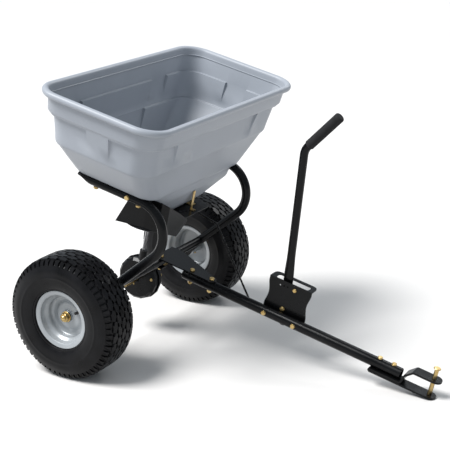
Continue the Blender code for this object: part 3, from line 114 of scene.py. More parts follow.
finishes = {
    "hopper_poly": makeMaterial("hopperPoly", {
        "dark": (0.255, 0.275, 0.305), "light": (0.285, 0.305, 0.34), "roughness": (0.38, 0.48),
        "patchScale": 5.0,
        "grainScale": 900.0, "speckle": 0.03, "bump": 0.10, "bumpDistance": 0.0003, "specular": 0.4}),
    "black_coat": makeMaterial("blackCoat", {
        "dark": (0.0022, 0.0023, 0.0026), "light": (0.004, 0.0042, 0.0048), "roughness": (0.20, 0.29),
        "patchScale": 14.0, "grainScale": 420.0, "speckle": 0.15, "bump": 0.10, "bumpDistance": 0.0003,
        "specular": 0.16}),
    "rim_paint": makeMaterial("rimPaint", {
        "dark": (0.27, 0.285, 0.295), "light": (0.31, 0.33, 0.345), "roughness": (0.26, 0.38),
        "metallic": 0.2,
        "grainScale": 500.0, "speckle": 0.04, "bump": 0.10, "bumpDistance": 0.0003, "coat": 0.15}),
    "tyre_rubber": makeMaterial("tyreRubber", {
        "dark": (0.0030, 0.0030, 0.0034), "light": (0.0062, 0.0062, 0.0072), "roughness": (0.26, 0.38),
        "patchScale": 22.0, "grainScale": 650.0, "speckle": 0.2, "bump": 0.22, "bumpDistance": 0.0003,
        "specular": 0.14}),
    "yellow_zinc": makeMaterial("yellowZinc", {
        "dark": (0.42, 0.28, 0.10), "light": (0.60, 0.46, 0.22), "roughness": (0.24, 0.40), "metallic": 1.0,
        "patchScale": 90.0, "grainScale": 1400.0, "speckle": 0.08, "bump": 0.10, "bumpDistance": 0.0002}),
    "nylon": makeMaterial("nylon", {
        "dark": (0.006, 0.006, 0.0065), "light": (0.010, 0.010, 0.011), "roughness": (0.40, 0.52),
        "grainScale": 800.0, "speckle": 0.1, "bump": 0.12, "bumpDistance": 0.0003, "specular": 0.35}),
    "plain_steel": makeMaterial("plainSteel", {
        "dark": (0.30, 0.30, 0.31), "light": (0.42, 0.42, 0.43), "roughness": (0.25, 0.42), "metallic": 1.0,
        "patchScale": 40.0, "grainScale": 1200.0, "speckle": 0.08, "bump": 0.12, "bumpDistance": 0.0002}),
    "grip_foam": makeMaterial("gripFoam", {
        "dark": (0.007, 0.007, 0.0075), "light": (0.013, 0.013, 0.014), "roughness": (0.70, 0.85),
        "patchScale": 60.0, "grainScale": 1500.0, "speckle": 0.25, "bump": 0.6, "bumpDistance": 0.0005,
        "specular": 0.25}),
}
slotOf = {part["node"]: part["material_slot"] for part in frame["record"]["subparts"]}
bodyOf = {node: body for body, nodes in frame["record"]["behaviour"]["bodies"].items() for node in nodes}
print("materials made")


# Moves a bmesh from machine axes into the row frame, and gives it the node's body, slot and finish.
def addPiece(name, bm, node, place=machine, sharp=32.0, bevel=0.0):
    bmesh.ops.transform(bm, matrix=place, verts=bm.verts)
    bmesh.ops.recalc_face_normals(bm, faces=bm.faces)
    if bm.calc_volume(signed=True) < 0:
        bmesh.ops.reverse_faces(bm, faces=bm.faces)
    mesh = bpy.data.meshes.new(name)
    bm.to_mesh(mesh)
    bm.free()
    mesh.shade_smooth()
    mesh.set_sharp_from_angle(angle=math.radians(sharp))
    slot = slotOf[node]
    mesh.materials.append(finishes[slot])
    piece = bpy.data.objects.new(name, mesh)
    bpy.context.scene.collection.objects.link(piece)
    if bevel:
        addBevel(piece, bevel)
    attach(piece, bodyOf[node])
    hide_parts(node)
    return piece


# Softens a piece's hard edges.
def addBevel(piece, width):
    modifier = piece.modifiers.new("softEdges", "BEVEL")
    modifier.width = width
    modifier.segments = 2
    modifier.limit_method = "ANGLE"
    modifier.angle_limit = math.radians(40)
    modifier.harden_normals = True


# Extrudes a ring of verts once, and lays the new ring on the given points.
def growRing(bm, ring, points):
    edges = [bm.edges.get((ring[i - 1], ring[i])) for i in range(len(ring))]
    grown = set(bmesh.ops.extrude_edge_only(bm, edges=edges)["geom"])
    nextRing = []
    for vert, point in zip(ring, points):
        twin = next(edge.other_vert(vert) for edge in vert.link_edges if edge.other_vert(vert) in grown)
        twin.co = point
        nextRing.append(twin)
    return nextRing


# A skin through a row of rings with equal counts, its ends capped or joined to each other.
def loft(bm, rings, closed=False):
    first = [bm.verts.new(point) for point in rings[0]]
    for i in range(len(first)):
        bm.edges.new((first[i - 1], first[i]))
    last = first
    for points in rings[1:]:
        last = growRing(bm, last, points)
    if closed:
        for i in range(len(first)):
            bm.faces.new((last[i - 1], last[i], first[i], first[i - 1]))
    else:
        bm.faces.new(first)
        bm.faces.new(last)


# Turns (along, radius) points about the y or z axis.
def turn(profile, steps, axis=(0, 1, 0), ring=True, side=1):
    bm = bmesh.new()
    aboutY = tuple(axis) == (0, 1, 0)
    verts = []
    for along, radius in profile:
        verts.append(bm.verts.new((0, side * along, radius) if aboutY else (radius, 0, along)))
    edges = [bm.edges.new(pair) for pair in zip(verts, verts[1:])]
    if ring:
        edges.append(bm.edges.new((verts[-1], verts[0])))
    bmesh.ops.spin(bm, geom=verts + edges, axis=axis, cent=(0, 0, 0), angle=math.tau, steps=steps,
                   use_merge=True)
    bmesh.ops.remove_doubles(bm, verts=bm.verts, dist=1e-6)
    return bm


# (along, radius) points of an arc in a turned profile, angles in degrees.
def arcPoints(centre, radius, start, stop, steps):
    points = []
    for k in range(steps + 1):
        a = math.radians(start + (stop - start) * k / steps)
        points.append((centre[0] + radius * math.cos(a), centre[1] + radius * math.sin(a)))
    return points


# (x, y) points of a whole circle.
def circlePoints(centre, radius, steps=24):
    points = []
    for k in range(steps):
        a = math.tau * k / steps
        points.append((centre[0] + radius * math.cos(a), centre[1] + radius * math.sin(a)))
    return points


# A path through the corners, each turned with an arc.
def roundedPath(corners, radius, steps=10):
    corners = [Vector(c) for c in corners]
    path = [corners[0]]
    for before, corner, after in zip(corners, corners[1:], corners[2:]):
        back = (before - corner).normalized()
        front = (after - corner).normalized()
        half = back.angle(front) / 2
        reach = radius / math.tan(half)
        middle = corner + (back + front).normalized() * (radius / math.sin(half))
        start = corner + back * reach - middle
        end = corner + front * reach - middle
        axis = start.cross(end).normalized()
        for k in range(steps + 1):
            path.append(middle + Matrix.Rotation((math.pi - 2 * half) * k / steps, 3, axis) @ start)
    path.append(corners[-1])
    return path


# Rings square to a path. A power over 2 squares the section's corners.
def sweepRings(path, sizes, sides=32, across=(0, 1, 0), power=2.0):
    path = [Vector(p) for p in path]
    across = Vector(across)
    rings = []
    for i, point in enumerate(path):
        ahead = path[min(i + 1, len(path) - 1)] - point
        behind = point - path[max(i - 1, 0)]
        along = (ahead.normalized() + behind.normalized()).normalized()
        across = (across - along * across.dot(along)).normalized()
        up = across.cross(along)
        width, height = sizes[i]
        ring = []
        for k in range(sides):
            a = math.tau * (k + 0.5) / sides
            x = math.copysign(abs(math.cos(a)) ** (2 / power), math.cos(a))
            y = math.copysign(abs(math.sin(a)) ** (2 / power), math.sin(a))
            ring.append(point + across * width * x + up * height * y)
        rings.append(ring)
    return rings


# A flat plate from a 2-D outline with holes, between two heights.
def slab(outline, holes, low, high):
    bm = bmesh.new()
    edges = []
    for loop in [outline, *holes]:
        verts = [bm.verts.new((x, y, low)) for x, y in loop]
        edges += [bm.edges.new((verts[i - 1], verts[i])) for i in range(len(verts))]
    bmesh.ops.triangle_fill(bm, edges=edges, use_beauty=True, normal=(0, 0, 1))
    bmesh.ops.dissolve_limit(bm, angle_limit=0.01, verts=bm.verts, edges=bm.edges)
    grown = bmesh.ops.extrude_face_region(bm, geom=list(bm.faces), use_keep_orig=True)
    top = [item for item in grown["geom"] if isinstance(item, bmesh.types.BMVert)]
    bmesh.ops.translate(bm, verts=top, vec=(0, 0, high - low))
    return bm


# A hexagon head or nut on the z axis, its outer end chamfered.
def addHex(bm, flats, low, high, chamfer=0.0008):
    apothem = flats / 2
    sides = 24
    step = math.copysign(chamfer, high - low)
    rings = []
    for rounded, z in ((False, low), (False, high - step), (True, high)):
        ring = []
        for i in range(sides):
            a = math.tau * i / sides
            fromCorner = abs((math.degrees(a) + 30) % 60 - 30)
            reach = apothem * 0.96 if rounded else apothem / math.cos(math.radians(30 - fromCorner))
            ring.append(Vector((reach * math.cos(a), reach * math.sin(a), z)))
        rings.append(ring)
    loft(bm, rings)


# A round shank or flange on the z axis, both its ends chamfered.
def addRod(bm, radius, low, high, sides=24, chamfer=0.0005):
    rings = []
    for r, z in ((radius - chamfer, low), (radius, low + chamfer), (radius, high - chamfer),
                 (radius - chamfer, high)):
        rings.append([Vector((x, y, z)) for x, y in circlePoints((0, 0), r, sides)])
    loft(bm, rings)


# Matrix that stands a z-axis fastener on a seat in machine axes.
def placeOn(seat, axis, spin=0.0):
    tilt = Vector((0, 0, 1)).rotation_difference(Vector(axis)).to_matrix().to_4x4()
    return machine @ Matrix.Translation(seat) @ tilt @ Matrix.Rotation(spin, 4, "Z")


# A flanged bolt: head over its seat, shank through the grip, and nut below.
def addBolt(name, node, seat, axis, grip, settings, spin=0.3):
    gap, flats, nut = shared["gap"], settings["flats"], settings["nut"]
    bm = bmesh.new()
    addHex(bm, flats, gap + 0.0002, settings["head"])
    addRod(bm, flats * 0.56, gap, gap + 0.0011, sides=32, chamfer=0.0003)
    addRod(bm, settings["radius"], -grip - nut - settings["tip"], gap + 0.001)
    addHex(bm, flats, -grip - gap - 0.0002, -grip - nut)
    addPiece(name, bm, node, place=placeOn(seat, axis, spin), sharp=28)


# Sizes that several pieces share, in metres.
shared = {
    "gap": 0.0003, "hoopOffset": 0.240, "hoopRadius": 0.014, "hoopHeight": 0.3712, "towRadius": 0.0159,
    "towHeight": 0.0825, "towRear": 0.154, "towFront": 0.889, "wheelOffset": 0.343, "axleRadius": 0.008,
    "boltHole": 0.0043,
}
towTop = shared["towHeight"] + shared["towRadius"]
towBottom = shared["towHeight"] - shared["towRadius"]


hopperSettings = {
    "rimHalfX": 0.208, "rimHalfY": 0.408, "rimHeight": 0.635, "rimRoll": 0.010, "corner": 0.080,
    "neckInset": 0.018, "neckBase": 0.579, "wall": 0.004, "cornerSteps": 12,
    "panelDepth": 0.0085, "grooveDepth": 0.0018, "ledge": 0.008, "panelEdge": 0.0012,
    "endLands": (-0.027, 0.045), "sideLands": (-0.229, -0.146, 0.202, 0.229), "rearBay": 0.117,
    "endSpan": 0.112, "sideSpan": 0.305,
}


# How far the band is set back along a side: 1 in a panel, 0 on the lands between panels.
def panelMask(longSide, place, settings):
    if longSide:
        a, b, c, d = settings["sideLands"]
        return 1.0 if place < a or b < place < c or place > d else 0.0
    a, b = settings["endLands"]
    return 1.0 if place < a or place > b else 0.0


# One level of the hopper, its stations close together where panels start.
def hopperRing(level, settings):
    halfX, halfY, corner, z, relief, bulge = level
    steps = settings["cornerSteps"]
    edge = settings["panelEdge"]
    stationsX = [-0.10, -0.07, 0.008, 0.08]
    for mark in settings["endLands"]:
        stationsX += [mark - edge, mark + edge]
    stationsY = [-0.29, -0.19, -0.118, -0.116, -0.10, -0.04, 0.02, 0.08, 0.116, 0.118, 0.16, 0.215, 0.27]
    for mark in settings["sideLands"]:
        stationsY += [mark - edge, mark + edge]
    stationsX.sort()
    stationsY.sort()
    straightX = halfX - corner
    straightY = halfY - corner
    scaleX = straightX / settings["endSpan"]
    scaleY = straightY / settings["sideSpan"]
    ring = []

    def addCorner(signX, signY, start):
        for k in range(steps + 1):
            a = math.radians(start + 90 * k / steps)
            x = signX * straightX + (corner - relief) * math.cos(a)
            y = signY * straightY + (corner - relief) * math.sin(a)
            ring.append(Vector((x, y, z)))

    def addLongSide(sign):
        for station in stationsY:
            out = halfX - relief * panelMask(True, station, settings)
            if sign < 0 and abs(station) < settings["rearBay"]:
                out += bulge
            ring.append(Vector((sign * out, sign * station * scaleY, z)))

    def addEnd(sign, stations):
        for station in stations:
            out = halfY - relief * panelMask(False, station, settings)
            ring.append(Vector((station * scaleX, sign * out, z)))

    addLongSide(1)
    addCorner(1, 1, 0)
    addEnd(1, reversed(stationsX))
    addCorner(-1, 1, 90)
    addLongSide(-1)
    addCorner(-1, -1, 180)
    addEnd(-1, stationsX)
    addCorner(1, -1, 270)
    return ring


# Levels of the outer skin, or of the inner skin when inward is the wall's thickness. Each is
# half length, half breadth, corner radius, height, depth of the panels, bulge of the rear bay.
def hopperLevels(settings, inward):
    corner = settings["corner"]
    x, y = settings["rimHalfX"], settings["rimHalfY"]
    inset = settings["neckInset"]
    neck = corner - inset
    depth = settings["panelDepth"]
    levels = [
        (x - inset, y - inset, neck, settings["rimHeight"] - settings["rimRoll"] + 0.001, 0, 0),
        (x - inset - 0.0035, y - inset - 0.0035, neck, settings["neckBase"] + 0.004, 0, 0),
        (x - inset - 0.005, y - inset - 0.005, neck, settings["neckBase"] + 0.001, 0, 0),
        (x - inset - 0.0085, y - inset - 0.0085, neck, settings["neckBase"] - 0.002, 0, 0),
        (x - inset - 0.0095, y - inset - 0.0095, neck, settings["neckBase"] - 0.006, 0, 0),
        (x - inset - 0.0100, y - inset - 0.0100, neck, settings["neckBase"] - 0.0075, depth, 0),
        (0.175, 0.370, 0.0615, 0.541, depth * 0.6, 0),
        (0.170, 0.362, 0.061, 0.512, depth * 0.25, 0),
        (0.1668, 0.358, 0.060, 0.494, 0, 0),
        (0.1655, 0.3565, 0.059, 0.489, 0, 0),
        (0.1635, 0.3535, 0.058, 0.485, 0, 0.0015),
        (0.1600, 0.3480, 0.057, 0.480, 0, 0.004),
        (0.1510, 0.3030, 0.053, 0.433, 0, 0.0065),
        (0.1445, 0.2660, 0.050, 0.396, 0, 0.004),
        (0.1430, 0.2600, 0.049, 0.3905, 0, 0.001),
        (0.1410, 0.2570, 0.047, 0.3870, 0, 0),
        (0.1370, 0.2520, 0.045, 0.3857, 0, 0),
        (0.1340, 0.2235, 0.030, 0.3857, 0, 0),
        (0.1340, 0.2228, 0.030, 0.384, 0, 0),
        (0.1270, 0.2225, 0.030, 0.353, 0, 0),
        (0.1250, 0.2205, 0.030, 0.347, 0, 0),
        (0.1220, 0.2100, 0.030, 0.3415, 0, 0),
        (0.1120, 0.1200, 0.030, 0.3105, 0, 0),
        (0.1090, 0.1080, 0.029, 0.3060, 0, 0),
        (0.0970, 0.0670, 0.024, 0.2900, 0, 0),
    ]
    if inward:
        top = x - inset - inward, y - inset - inward, neck - inward * 0.8
        low = top[0] - 0.010, top[1] - 0.010, top[2]
        groove = settings["grooveDepth"]
        inner = [(*top, 0.6225, 0, 0), (top[0] - groove, top[1] - groove, top[2], 0.6215, 0, 0),
                 (top[0] - groove, top[1] - groove, top[2], 0.6200, 0, 0),
                 (top[0] - 0.0003, top[1] - 0.0003, top[2], 0.6190, 0, 0),
                 (*low, settings["neckBase"] - 0.0060, 0, 0), (*low, settings["neckBase"] - 0.0072, depth, 0)]
        for a, b, c, z, relief, bulge in levels[6:9]:
            inner.append((a - inward, b - inward, c - inward * 0.8, z, relief, bulge))
        ledge = settings["ledge"]
        nose = ledge * 0.85
        inner += [(0.1612, 0.3520, 0.056, 0.4915, 0, 0),
                  (0.1606 - nose, 0.3514 - nose, 0.051, 0.4905, 0, nose),
                  (0.1606 - ledge, 0.3514 - ledge, 0.050, 0.4890, 0, ledge),
                  (0.1604 - ledge, 0.3505 - ledge, 0.050, 0.4860, 0, ledge)]
        for a, b, c, z, relief, bulge in levels[12:]:
            share = max(0.0, (z - 0.41) / 0.08)
            back = inward + ledge * share * 0.5
            inner.append((a - back, b - back, max(c - inward, 0.015), z + inward * 0.8, 0,
                          ledge * share * 1.2))
        levels = inner
    return levels


# The shell: outer skin from the bottom up, over the rolled rim, and down inside.
def buildHopper(settings):
    x, y = settings["rimHalfX"], settings["rimHalfY"]
    roll = settings["rimRoll"]
    corner = settings["corner"]
    middle = settings["rimHeight"]
    lip = []
    for k in range(13):
        a = math.radians(-70 + 250 * k / 12)
        inset = roll - roll * math.cos(a)
        lip.append((x - inset, y - inset, corner - inset, middle + roll * math.sin(a), 0, 0))
    outer = hopperLevels(settings, 0.0)
    inner = hopperLevels(settings, settings["wall"])
    rings = [hopperRing(level, settings) for level in reversed(outer)]
    rings += [hopperRing(level, settings) for level in lip]
    rings += [hopperRing(level, settings) for level in inner]
    bm = bmesh.new()
    loft(bm, rings)
    addPiece("hopperShell", bm, "hopper", sharp=38)


buildHopper(hopperSettings)
print("hopper built")


tyreSettings = {
    "halfWidth": 0.070, "crown": 0.1838, "grooveDepth": 0.0058, "bead": 0.0773, "rimLip": 0.088,
    "rowCount": 34, "gap": 0.0022, "rows": (-0.0384, -0.0192, 0.0, 0.0192, 0.0384), "shoulderCount": 60,
    "lugStarts": (0.0520, 0.0495),
    # share of the lug's width, distance from the tyre's middle, drop, bulge
    "lugRun": ((0.9, 0.0580, 0.0, 0.0), (0.8, 0.0640, 0.012, 0.0), (0.72, 0.0672, 0.030, 0.0016)),
    "flange": 0.056,
}


# Outer radius of the tread across its width.
def treadRadius(y, settings):
    share = abs(y) / settings["halfWidth"]
    return settings["crown"] - 0.0022 * share ** 2 - 0.0125 * max(0.0, share - 0.50) ** 2 / 0.25 * 1.6


# One tread block over a plan outline of (angle, y) corners, drawn in towards its top.
def addBlock(bm, corners, settings):
    centreAngle = sum(angle for angle, y in corners) / len(corners)
    centreY = sum(y for angle, y in corners) / len(corners)
    base = []
    lower = []
    top = []
    for angle, y in corners:
        radius = treadRadius(y, settings)
        foot = radius - settings["grooveDepth"] - 0.0015
        base.append(onTread(angle, y, foot))
        lower.append(onTread(angle, y, radius + (foot - radius) * 0.16))
        angle += (centreAngle - angle) * 0.10
        y += (centreY - y) * 0.10
        top.append(onTread(angle, y, treadRadius(y, settings) + 0.0002))
    loft(bm, [base, lower, top])


def onTread(angle, y, radius):
    return Vector((radius * math.sin(angle), y, radius * math.cos(angle)))


# Repeats a block, or a pair of them, round the tyre.
def spinCopies(bm, copies):
    step = math.tau / copies
    bmesh.ops.spin(bm, geom=bm.verts[:] + bm.edges[:] + bm.faces[:], axis=(0, 1, 0), cent=(0, 0, 0),
                   angle=step * (copies - 1), steps=copies - 1, use_duplicate=True)


# Puts one bmesh's mesh into another.
def mergeInto(bm, part):
    sketch = bpy.data.meshes.new("sketch")
    part.to_mesh(sketch)
    part.free()
    bm.from_mesh(sketch)
    bpy.data.meshes.remove(sketch)


# One row of wavy blocks across the middle of the tread.
def buildRow(bm, row, settings):
    pitch = math.tau / settings["rowCount"]
    gap = settings["gap"] / settings["crown"]
    rows = settings["rows"]
    reach = (rows[1] - rows[0]) / 2 - settings["gap"] / 2
    centre = rows[row]
    left = centre - reach
    right = centre + reach
    a = pitch * 0.5 * (row % 2)
    narrow = pitch * 0.36 - gap / 2
    wide = pitch * 0.58 - gap / 2
    lean = pitch * (0.10 if row % 2 else -0.10)
    block = bmesh.new()
    addBlock(block, [
        (a - narrow - lean, left), (a - narrow - lean, left + reach * 0.45),
        (a - wide, centre - reach * 0.15),
        (a - wide, centre + reach * 0.25), (a - narrow + lean, right - reach * 0.35),
        (a - narrow + lean, right),
        (a, right + 0.0010), (a + narrow + lean, right), (a + narrow + lean, right - reach * 0.35),
        (a + wide - gap, centre + reach * 0.25), (a + wide - gap, centre - reach * 0.15),
        (a + narrow - lean, left + reach * 0.45), (a + narrow - lean, left), (a, left + 0.0010)], settings)
    spinCopies(block, settings["rowCount"])
    mergeInto(bm, block)


# Lugs over one shoulder, long and short by turns, each wrapped down on to the sidewall.
def buildShoulder(bm, edge, settings):
    step = math.tau / settings["shoulderCount"]
    half = step * 0.36
    pair = bmesh.new()
    for k, near in enumerate(settings["lugStarts"]):
        a = step * (k + (0.25 if edge > 0 else 0.75))
        run = ((1.0, near, 0.0, 0.0), *settings["lugRun"])
        plan = [(-share, *rest) for share, *rest in run] + list(reversed(run))
        top = []
        base = []
        for share, y, drop, out in plan:
            radius = treadRadius(y, settings) - drop
            top.append(onTread(a + half * share, edge * (y + out), radius))
            base.append(onTread(a + half * share, edge * (y - 0.006), radius - 0.0085))
        loft(pair, [base, top])
    spinCopies(pair, settings["shoulderCount"] // 2)
    mergeInto(bm, pair)


# The turned carcass with its sidewall rings, and the tread on it.
def buildTyre(prefix, side, settings):
    crown = settings["crown"]
    floor = settings["grooveDepth"]
    flange = settings["flange"]
    lip = settings["rimLip"]
    outer = [(flange - 0.018, settings["bead"]), (flange - 0.006, settings["bead"]),
             (flange - 0.0045, lip + 0.001), (0.0575, lip + 0.0015), (0.0600, lip + 0.0030),
             (0.0606, lip + 0.0055),
             (0.0606, lip + 0.0070), (0.0622, lip + 0.0076), (0.0640, lip + 0.0110), (0.0662, lip + 0.0180),
             (0.0680, lip + 0.0260), (0.0690, lip + 0.0340), (0.0696, lip + 0.0400), (0.0700, lip + 0.0410),
             (0.0700, lip + 0.0430), (0.0696, lip + 0.0440), (0.0692, lip + 0.0520), (0.0680, lip + 0.0600),
             (0.0655, crown - 0.0290), (0.0618, crown - 0.0200)]
    for k in range(9):
        y = 0.0585 * (1 - k / 8)
        outer.append((y, treadRadius(y, settings) - floor - (0.0035 if k == 0 else 0.0)))
    inner = [(0.046, crown - 0.020), (0.062, lip + 0.046), (flange - 0.018, lip)]
    profile = outer + [(-y, r) for y, r in reversed(outer[:-1])]
    profile += [(-y, r) for y, r in reversed(inner)] + inner
    place = machine @ Matrix.Translation((0, side * shared["wheelOffset"], 0))
    carcass = turn(profile, 96, side=side)
    addPiece(f"{prefix}Tyre", carcass, f"{prefix}_tyre", place=place, sharp=30)

    blocks = bmesh.new()
    for row in range(len(settings["rows"])):
        buildRow(blocks, row, settings)
    for edge in (-1, 1):
        buildShoulder(blocks, edge, settings)
    addPiece(f"{prefix}Tread", blocks, f"{prefix}_tyre", place=place, sharp=25)


valveSettings = {"length": 0.030, "angle": math.radians(38.6), "seat": 0.0618, "offset": 0.0235}
rimSettings = {"flange": 0.056, "lip": 0.088, "bead": 0.077, "drop": 0.066, "wall": 0.003, "disc": 0.012,
               "hubRadius": 0.017, "hubOut": 0.024, "hubIn": 0.044}


# Both flanges, the bead seats, the drop, the dished disc and the hub in one turned profile.
def buildRim(prefix, side, bore, settings):
    flange, lip, wall = settings["flange"], settings["lip"], settings["wall"]
    disc, hub = settings["disc"], settings["hubRadius"]
    bead, drop = settings["bead"], settings["drop"]
    shell = [(flange - 0.0045, bead)]
    shell += [(flange - 0.0030, lip - 0.0030)]
    shell += arcPoints((flange - 0.0018, lip - 0.0016), 0.0016, 150, -30, 6)
    shell += [(flange - 0.0012, bead - wall + 0.003), (flange - 0.0040, bead - wall - 0.0004),
              (0.038, bead - 0.0015 - wall)]
    shell += [(0.0345, bead - 0.0045 - wall), (0.0300, drop + 0.0020 - wall), (0.0270, drop - wall)]
    shell += arcPoints((disc + 0.008, drop - wall - 0.008), 0.008, 90, 180, 6)
    shell += [(disc, 0.0500), (disc + 0.0006, 0.0470), (disc + 0.0030, 0.0415), (disc + 0.0046, 0.0380)]
    shell += [(disc + 0.0050, 0.0340), (disc + 0.0050, hub + 0.0025)]
    shell += arcPoints((disc + 0.0075, hub + 0.0025), 0.0025, 180, 270, 4)
    shell += [(settings["hubOut"] - 0.0012, hub), (settings["hubOut"], hub - 0.0012),
              (settings["hubOut"], bore)]
    shell += [(-settings["hubIn"], bore), (-settings["hubIn"], hub - 0.0008),
              (0.0008 - settings["hubIn"], hub)]
    shell += [(disc + 0.0050 - wall, hub), (disc + 0.0050 - wall, 0.0380), (disc - wall, 0.0480)]
    shell += [(disc - wall, drop - wall - 0.004), (disc - wall - 0.004, drop - wall), (-0.027, drop - wall)]
    shell += [(-0.0300, drop + 0.0020 - wall), (-0.0345, bead - 0.0045 - wall),
              (-0.038, bead - 0.0015 - wall)]
    shell += [(0.0040 - flange, bead - wall - 0.0004), (0.0012 - flange, bead - wall + 0.003)]
    shell += arcPoints((0.0018 - flange, lip - 0.0016), 0.0016, 210, 30, 6)
    shell += [(0.0030 - flange, lip - 0.0030), (0.0045 - flange, bead), (-0.038, bead - 0.0015)]
    shell += [(-0.0320, drop + 0.003), (-0.0270, drop), (0.0270, drop), (0.0320, drop + 0.003),
              (0.038, bead - 0.0015)]
    place = machine @ Matrix.Translation((0, side * shared["wheelOffset"], 0))
    addPiece(f"{prefix}Rim", turn(shell, 96, side=side), f"{prefix}_rim", place=place, sharp=40)


# The stem leans out of the drop towards the hub.
def buildValve(prefix, side, settings):
    length = settings["length"]
    profile = [(0, 0), (0, 0.0046), (0.0035, 0.0045), (0.0065, 0.0036), (0.0150, 0.0030), (0.0195, 0.0030),
               (0.0200, 0.0044), (0.0285, 0.0044), (length - 0.0004, 0.0036), (length, 0.0030), (length, 0)]
    outward = Vector((math.cos(settings["angle"]), 0, math.sin(settings["angle"])))
    turnTo = Vector((0, 1, 0)).rotation_difference(-outward).to_matrix().to_4x4()
    seat = outward * settings["seat"] + Vector((0, side * (shared["wheelOffset"] + settings["offset"]), 0))
    addPiece(f"{prefix}ValveStem", turn(profile, 24, ring=False), f"{prefix}_valve_stem",
             place=machine @ Matrix.Translation(seat) @ turnTo)


nutSettings = {"washerStart": 0.0266, "washerThick": 0.002, "washerRadius": 0.016, "flats": 0.024,
               "hexHeight": 0.0110, "dome": (0.0100, 0.0088, 0.0092)}


# Washer and domed nut on the axle's end.
def buildWheelNut(prefix, side, settings):
    start = shared["wheelOffset"] + settings["washerStart"]
    end = start + settings["washerThick"]
    radius = settings["washerRadius"]
    bore = shared["axleRadius"] + shared["gap"]
    edge = 0.0005
    washer = turn([(start, bore), (start, radius - edge), (start + edge, radius), (end - edge, radius),
                   (end, radius - edge), (end, bore)], 48, side=side)
    addPiece(f"{prefix}WheelWasher", washer, f"{prefix}_wheel_washer")
    bm = bmesh.new()
    addHex(bm, settings["flats"], shared["gap"], settings["hexHeight"], chamfer=0.0012)
    domeBase, rise, domeRadius = settings["dome"]
    profile = [(domeBase, 0.0)]
    for degrees in range(0, 86, 12):
        a = math.radians(degrees)
        profile.append((domeBase + rise * math.sin(a), domeRadius * math.cos(a)))
    profile.append((domeBase + rise, 0.0))
    mergeInto(bm, turn(profile, 32, axis=(0, 0, 1), ring=False))
    addPiece(f"{prefix}WheelNut", bm, f"{prefix}_wheel_nut",
             place=placeOn((0, side * end, 0), (0, side, 0), 0.2))


for wheelName, wheelSide, wheelBore in (("left", 1, 0.0083), ("right", -1, 0.013)):
    buildTyre(wheelName, wheelSide, tyreSettings)
    buildRim(wheelName, wheelSide, wheelBore, rimSettings)
    buildValve(wheelName, wheelSide, valveSettings)
    buildWheelNut(wheelName, wheelSide, nutSettings)
print("wheels built")


hoopSettings = {"rear": -0.118, "flatLength": 0.047, "rearLift": 0.0085, "arcX": 0.098, "bend": 0.092,
                "wall": 0.002, "lugHalf": 0.019, "lugThick": 0.005}


# Points and half sizes along a hoop: flattened rear end, upper arm, arc, lower arm, axle lug.
def hoopPath(settings):
    height = shared["hoopHeight"]
    centreZ = height - settings["bend"]
    reach = math.hypot(settings["arcX"], centreZ)
    angle = math.atan2(centreZ, settings["arcX"]) - math.asin(settings["bend"] / reach)
    radius = shared["hoopRadius"]
    rear = settings["rear"]
    path = []
    sizes = []
    for share in (0.0, 0.012, 0.035, 0.08, 0.15, 0.3, 0.45, 0.6, 0.75, 0.9, 1.0):
        ease = share * share * (3 - 2 * share)
        lift = settings["rearLift"] * (1 - ease)
        nose = min(1.0, 0.45 + 0.55 * math.sqrt(share / 0.08))
        path.append((rear + settings["flatLength"] * share, 0.0, height + lift))
        sizes.append(((radius + 0.003 * (1 - ease)) * nose, (radius - lift) * nose))
    path.append((settings["arcX"] - 0.02, 0.0, height))
    sizes.append((radius, radius))
    for k in range(37):
        a = math.pi / 2 - (math.pi - angle) * k / 36
        path.append((settings["arcX"] + settings["bend"] * math.cos(a), 0.0,
                     centreZ + settings["bend"] * math.sin(a)))
        sizes.append((radius, radius))
    thick = settings["lugThick"]
    half = settings["lugHalf"]
    for distance, share in ((0.080, 0.0), (0.066, 0.05), (0.056, 0.25), (0.047, 0.6), (0.038, 0.9),
                            (0.028, 1.0),
                            (0.0, 1.0)):
        path.append((distance * math.cos(angle), 0.0, distance * math.sin(angle)))
        sizes.append((radius + (thick - radius) * share, radius + (half - radius) * share))
    for k in range(1, 8):
        a = math.radians(90 * k / 7.4)
        distance = -half * 0.93 * math.sin(a)
        path.append((distance * math.cos(angle), 0.0, distance * math.sin(angle)))
        sizes.append((thick, half * math.cos(a)))
    return path, sizes


# The bore stops before the lower end, which is pressed flat and solid.
def buildHoop(prefix, side, settings):
    path, sizes = hoopPath(settings)
    solidFrom = len(path) - 12
    wall = settings["wall"]
    outer = sweepRings(path, sizes, sides=36)
    bore = sweepRings(path[:solidFrom], [(a - wall, b - wall) for a, b in sizes[:solidFrom]], sides=36)
    bm = bmesh.new()
    loft(bm, list(reversed(bore)) + outer)
    place = machine @ Matrix.Translation((0, side * shared["hoopOffset"], 0))
    addPiece(f"{prefix}Hoop", bm, f"{prefix}_hoop", place=place, sharp=45)


for hoopName, hoopSide in (("left", 1), ("right", -1)):
    buildHoop(hoopName, hoopSide, hoopSettings)


# A straight open tube with softened ends.
def buildTube(name, node, start, end, radius, across, sides=40):
    wall = 0.002
    soft = 0.0008
    start = Vector(start)
    end = Vector(end)
    step = (end - start).normalized() * soft
    outer = sweepRings([start, start + step, end - step, end],
                       [(size, size) for size in (radius - soft, radius, radius, radius - soft)], sides,
                       across)
    inner = sweepRings([start, end], [(radius - wall, radius - wall)] * 2, sides, across)
    bm = bmesh.new()
    loft(bm, outer + list(reversed(inner)), closed=True)
    addPiece(name, bm, node)


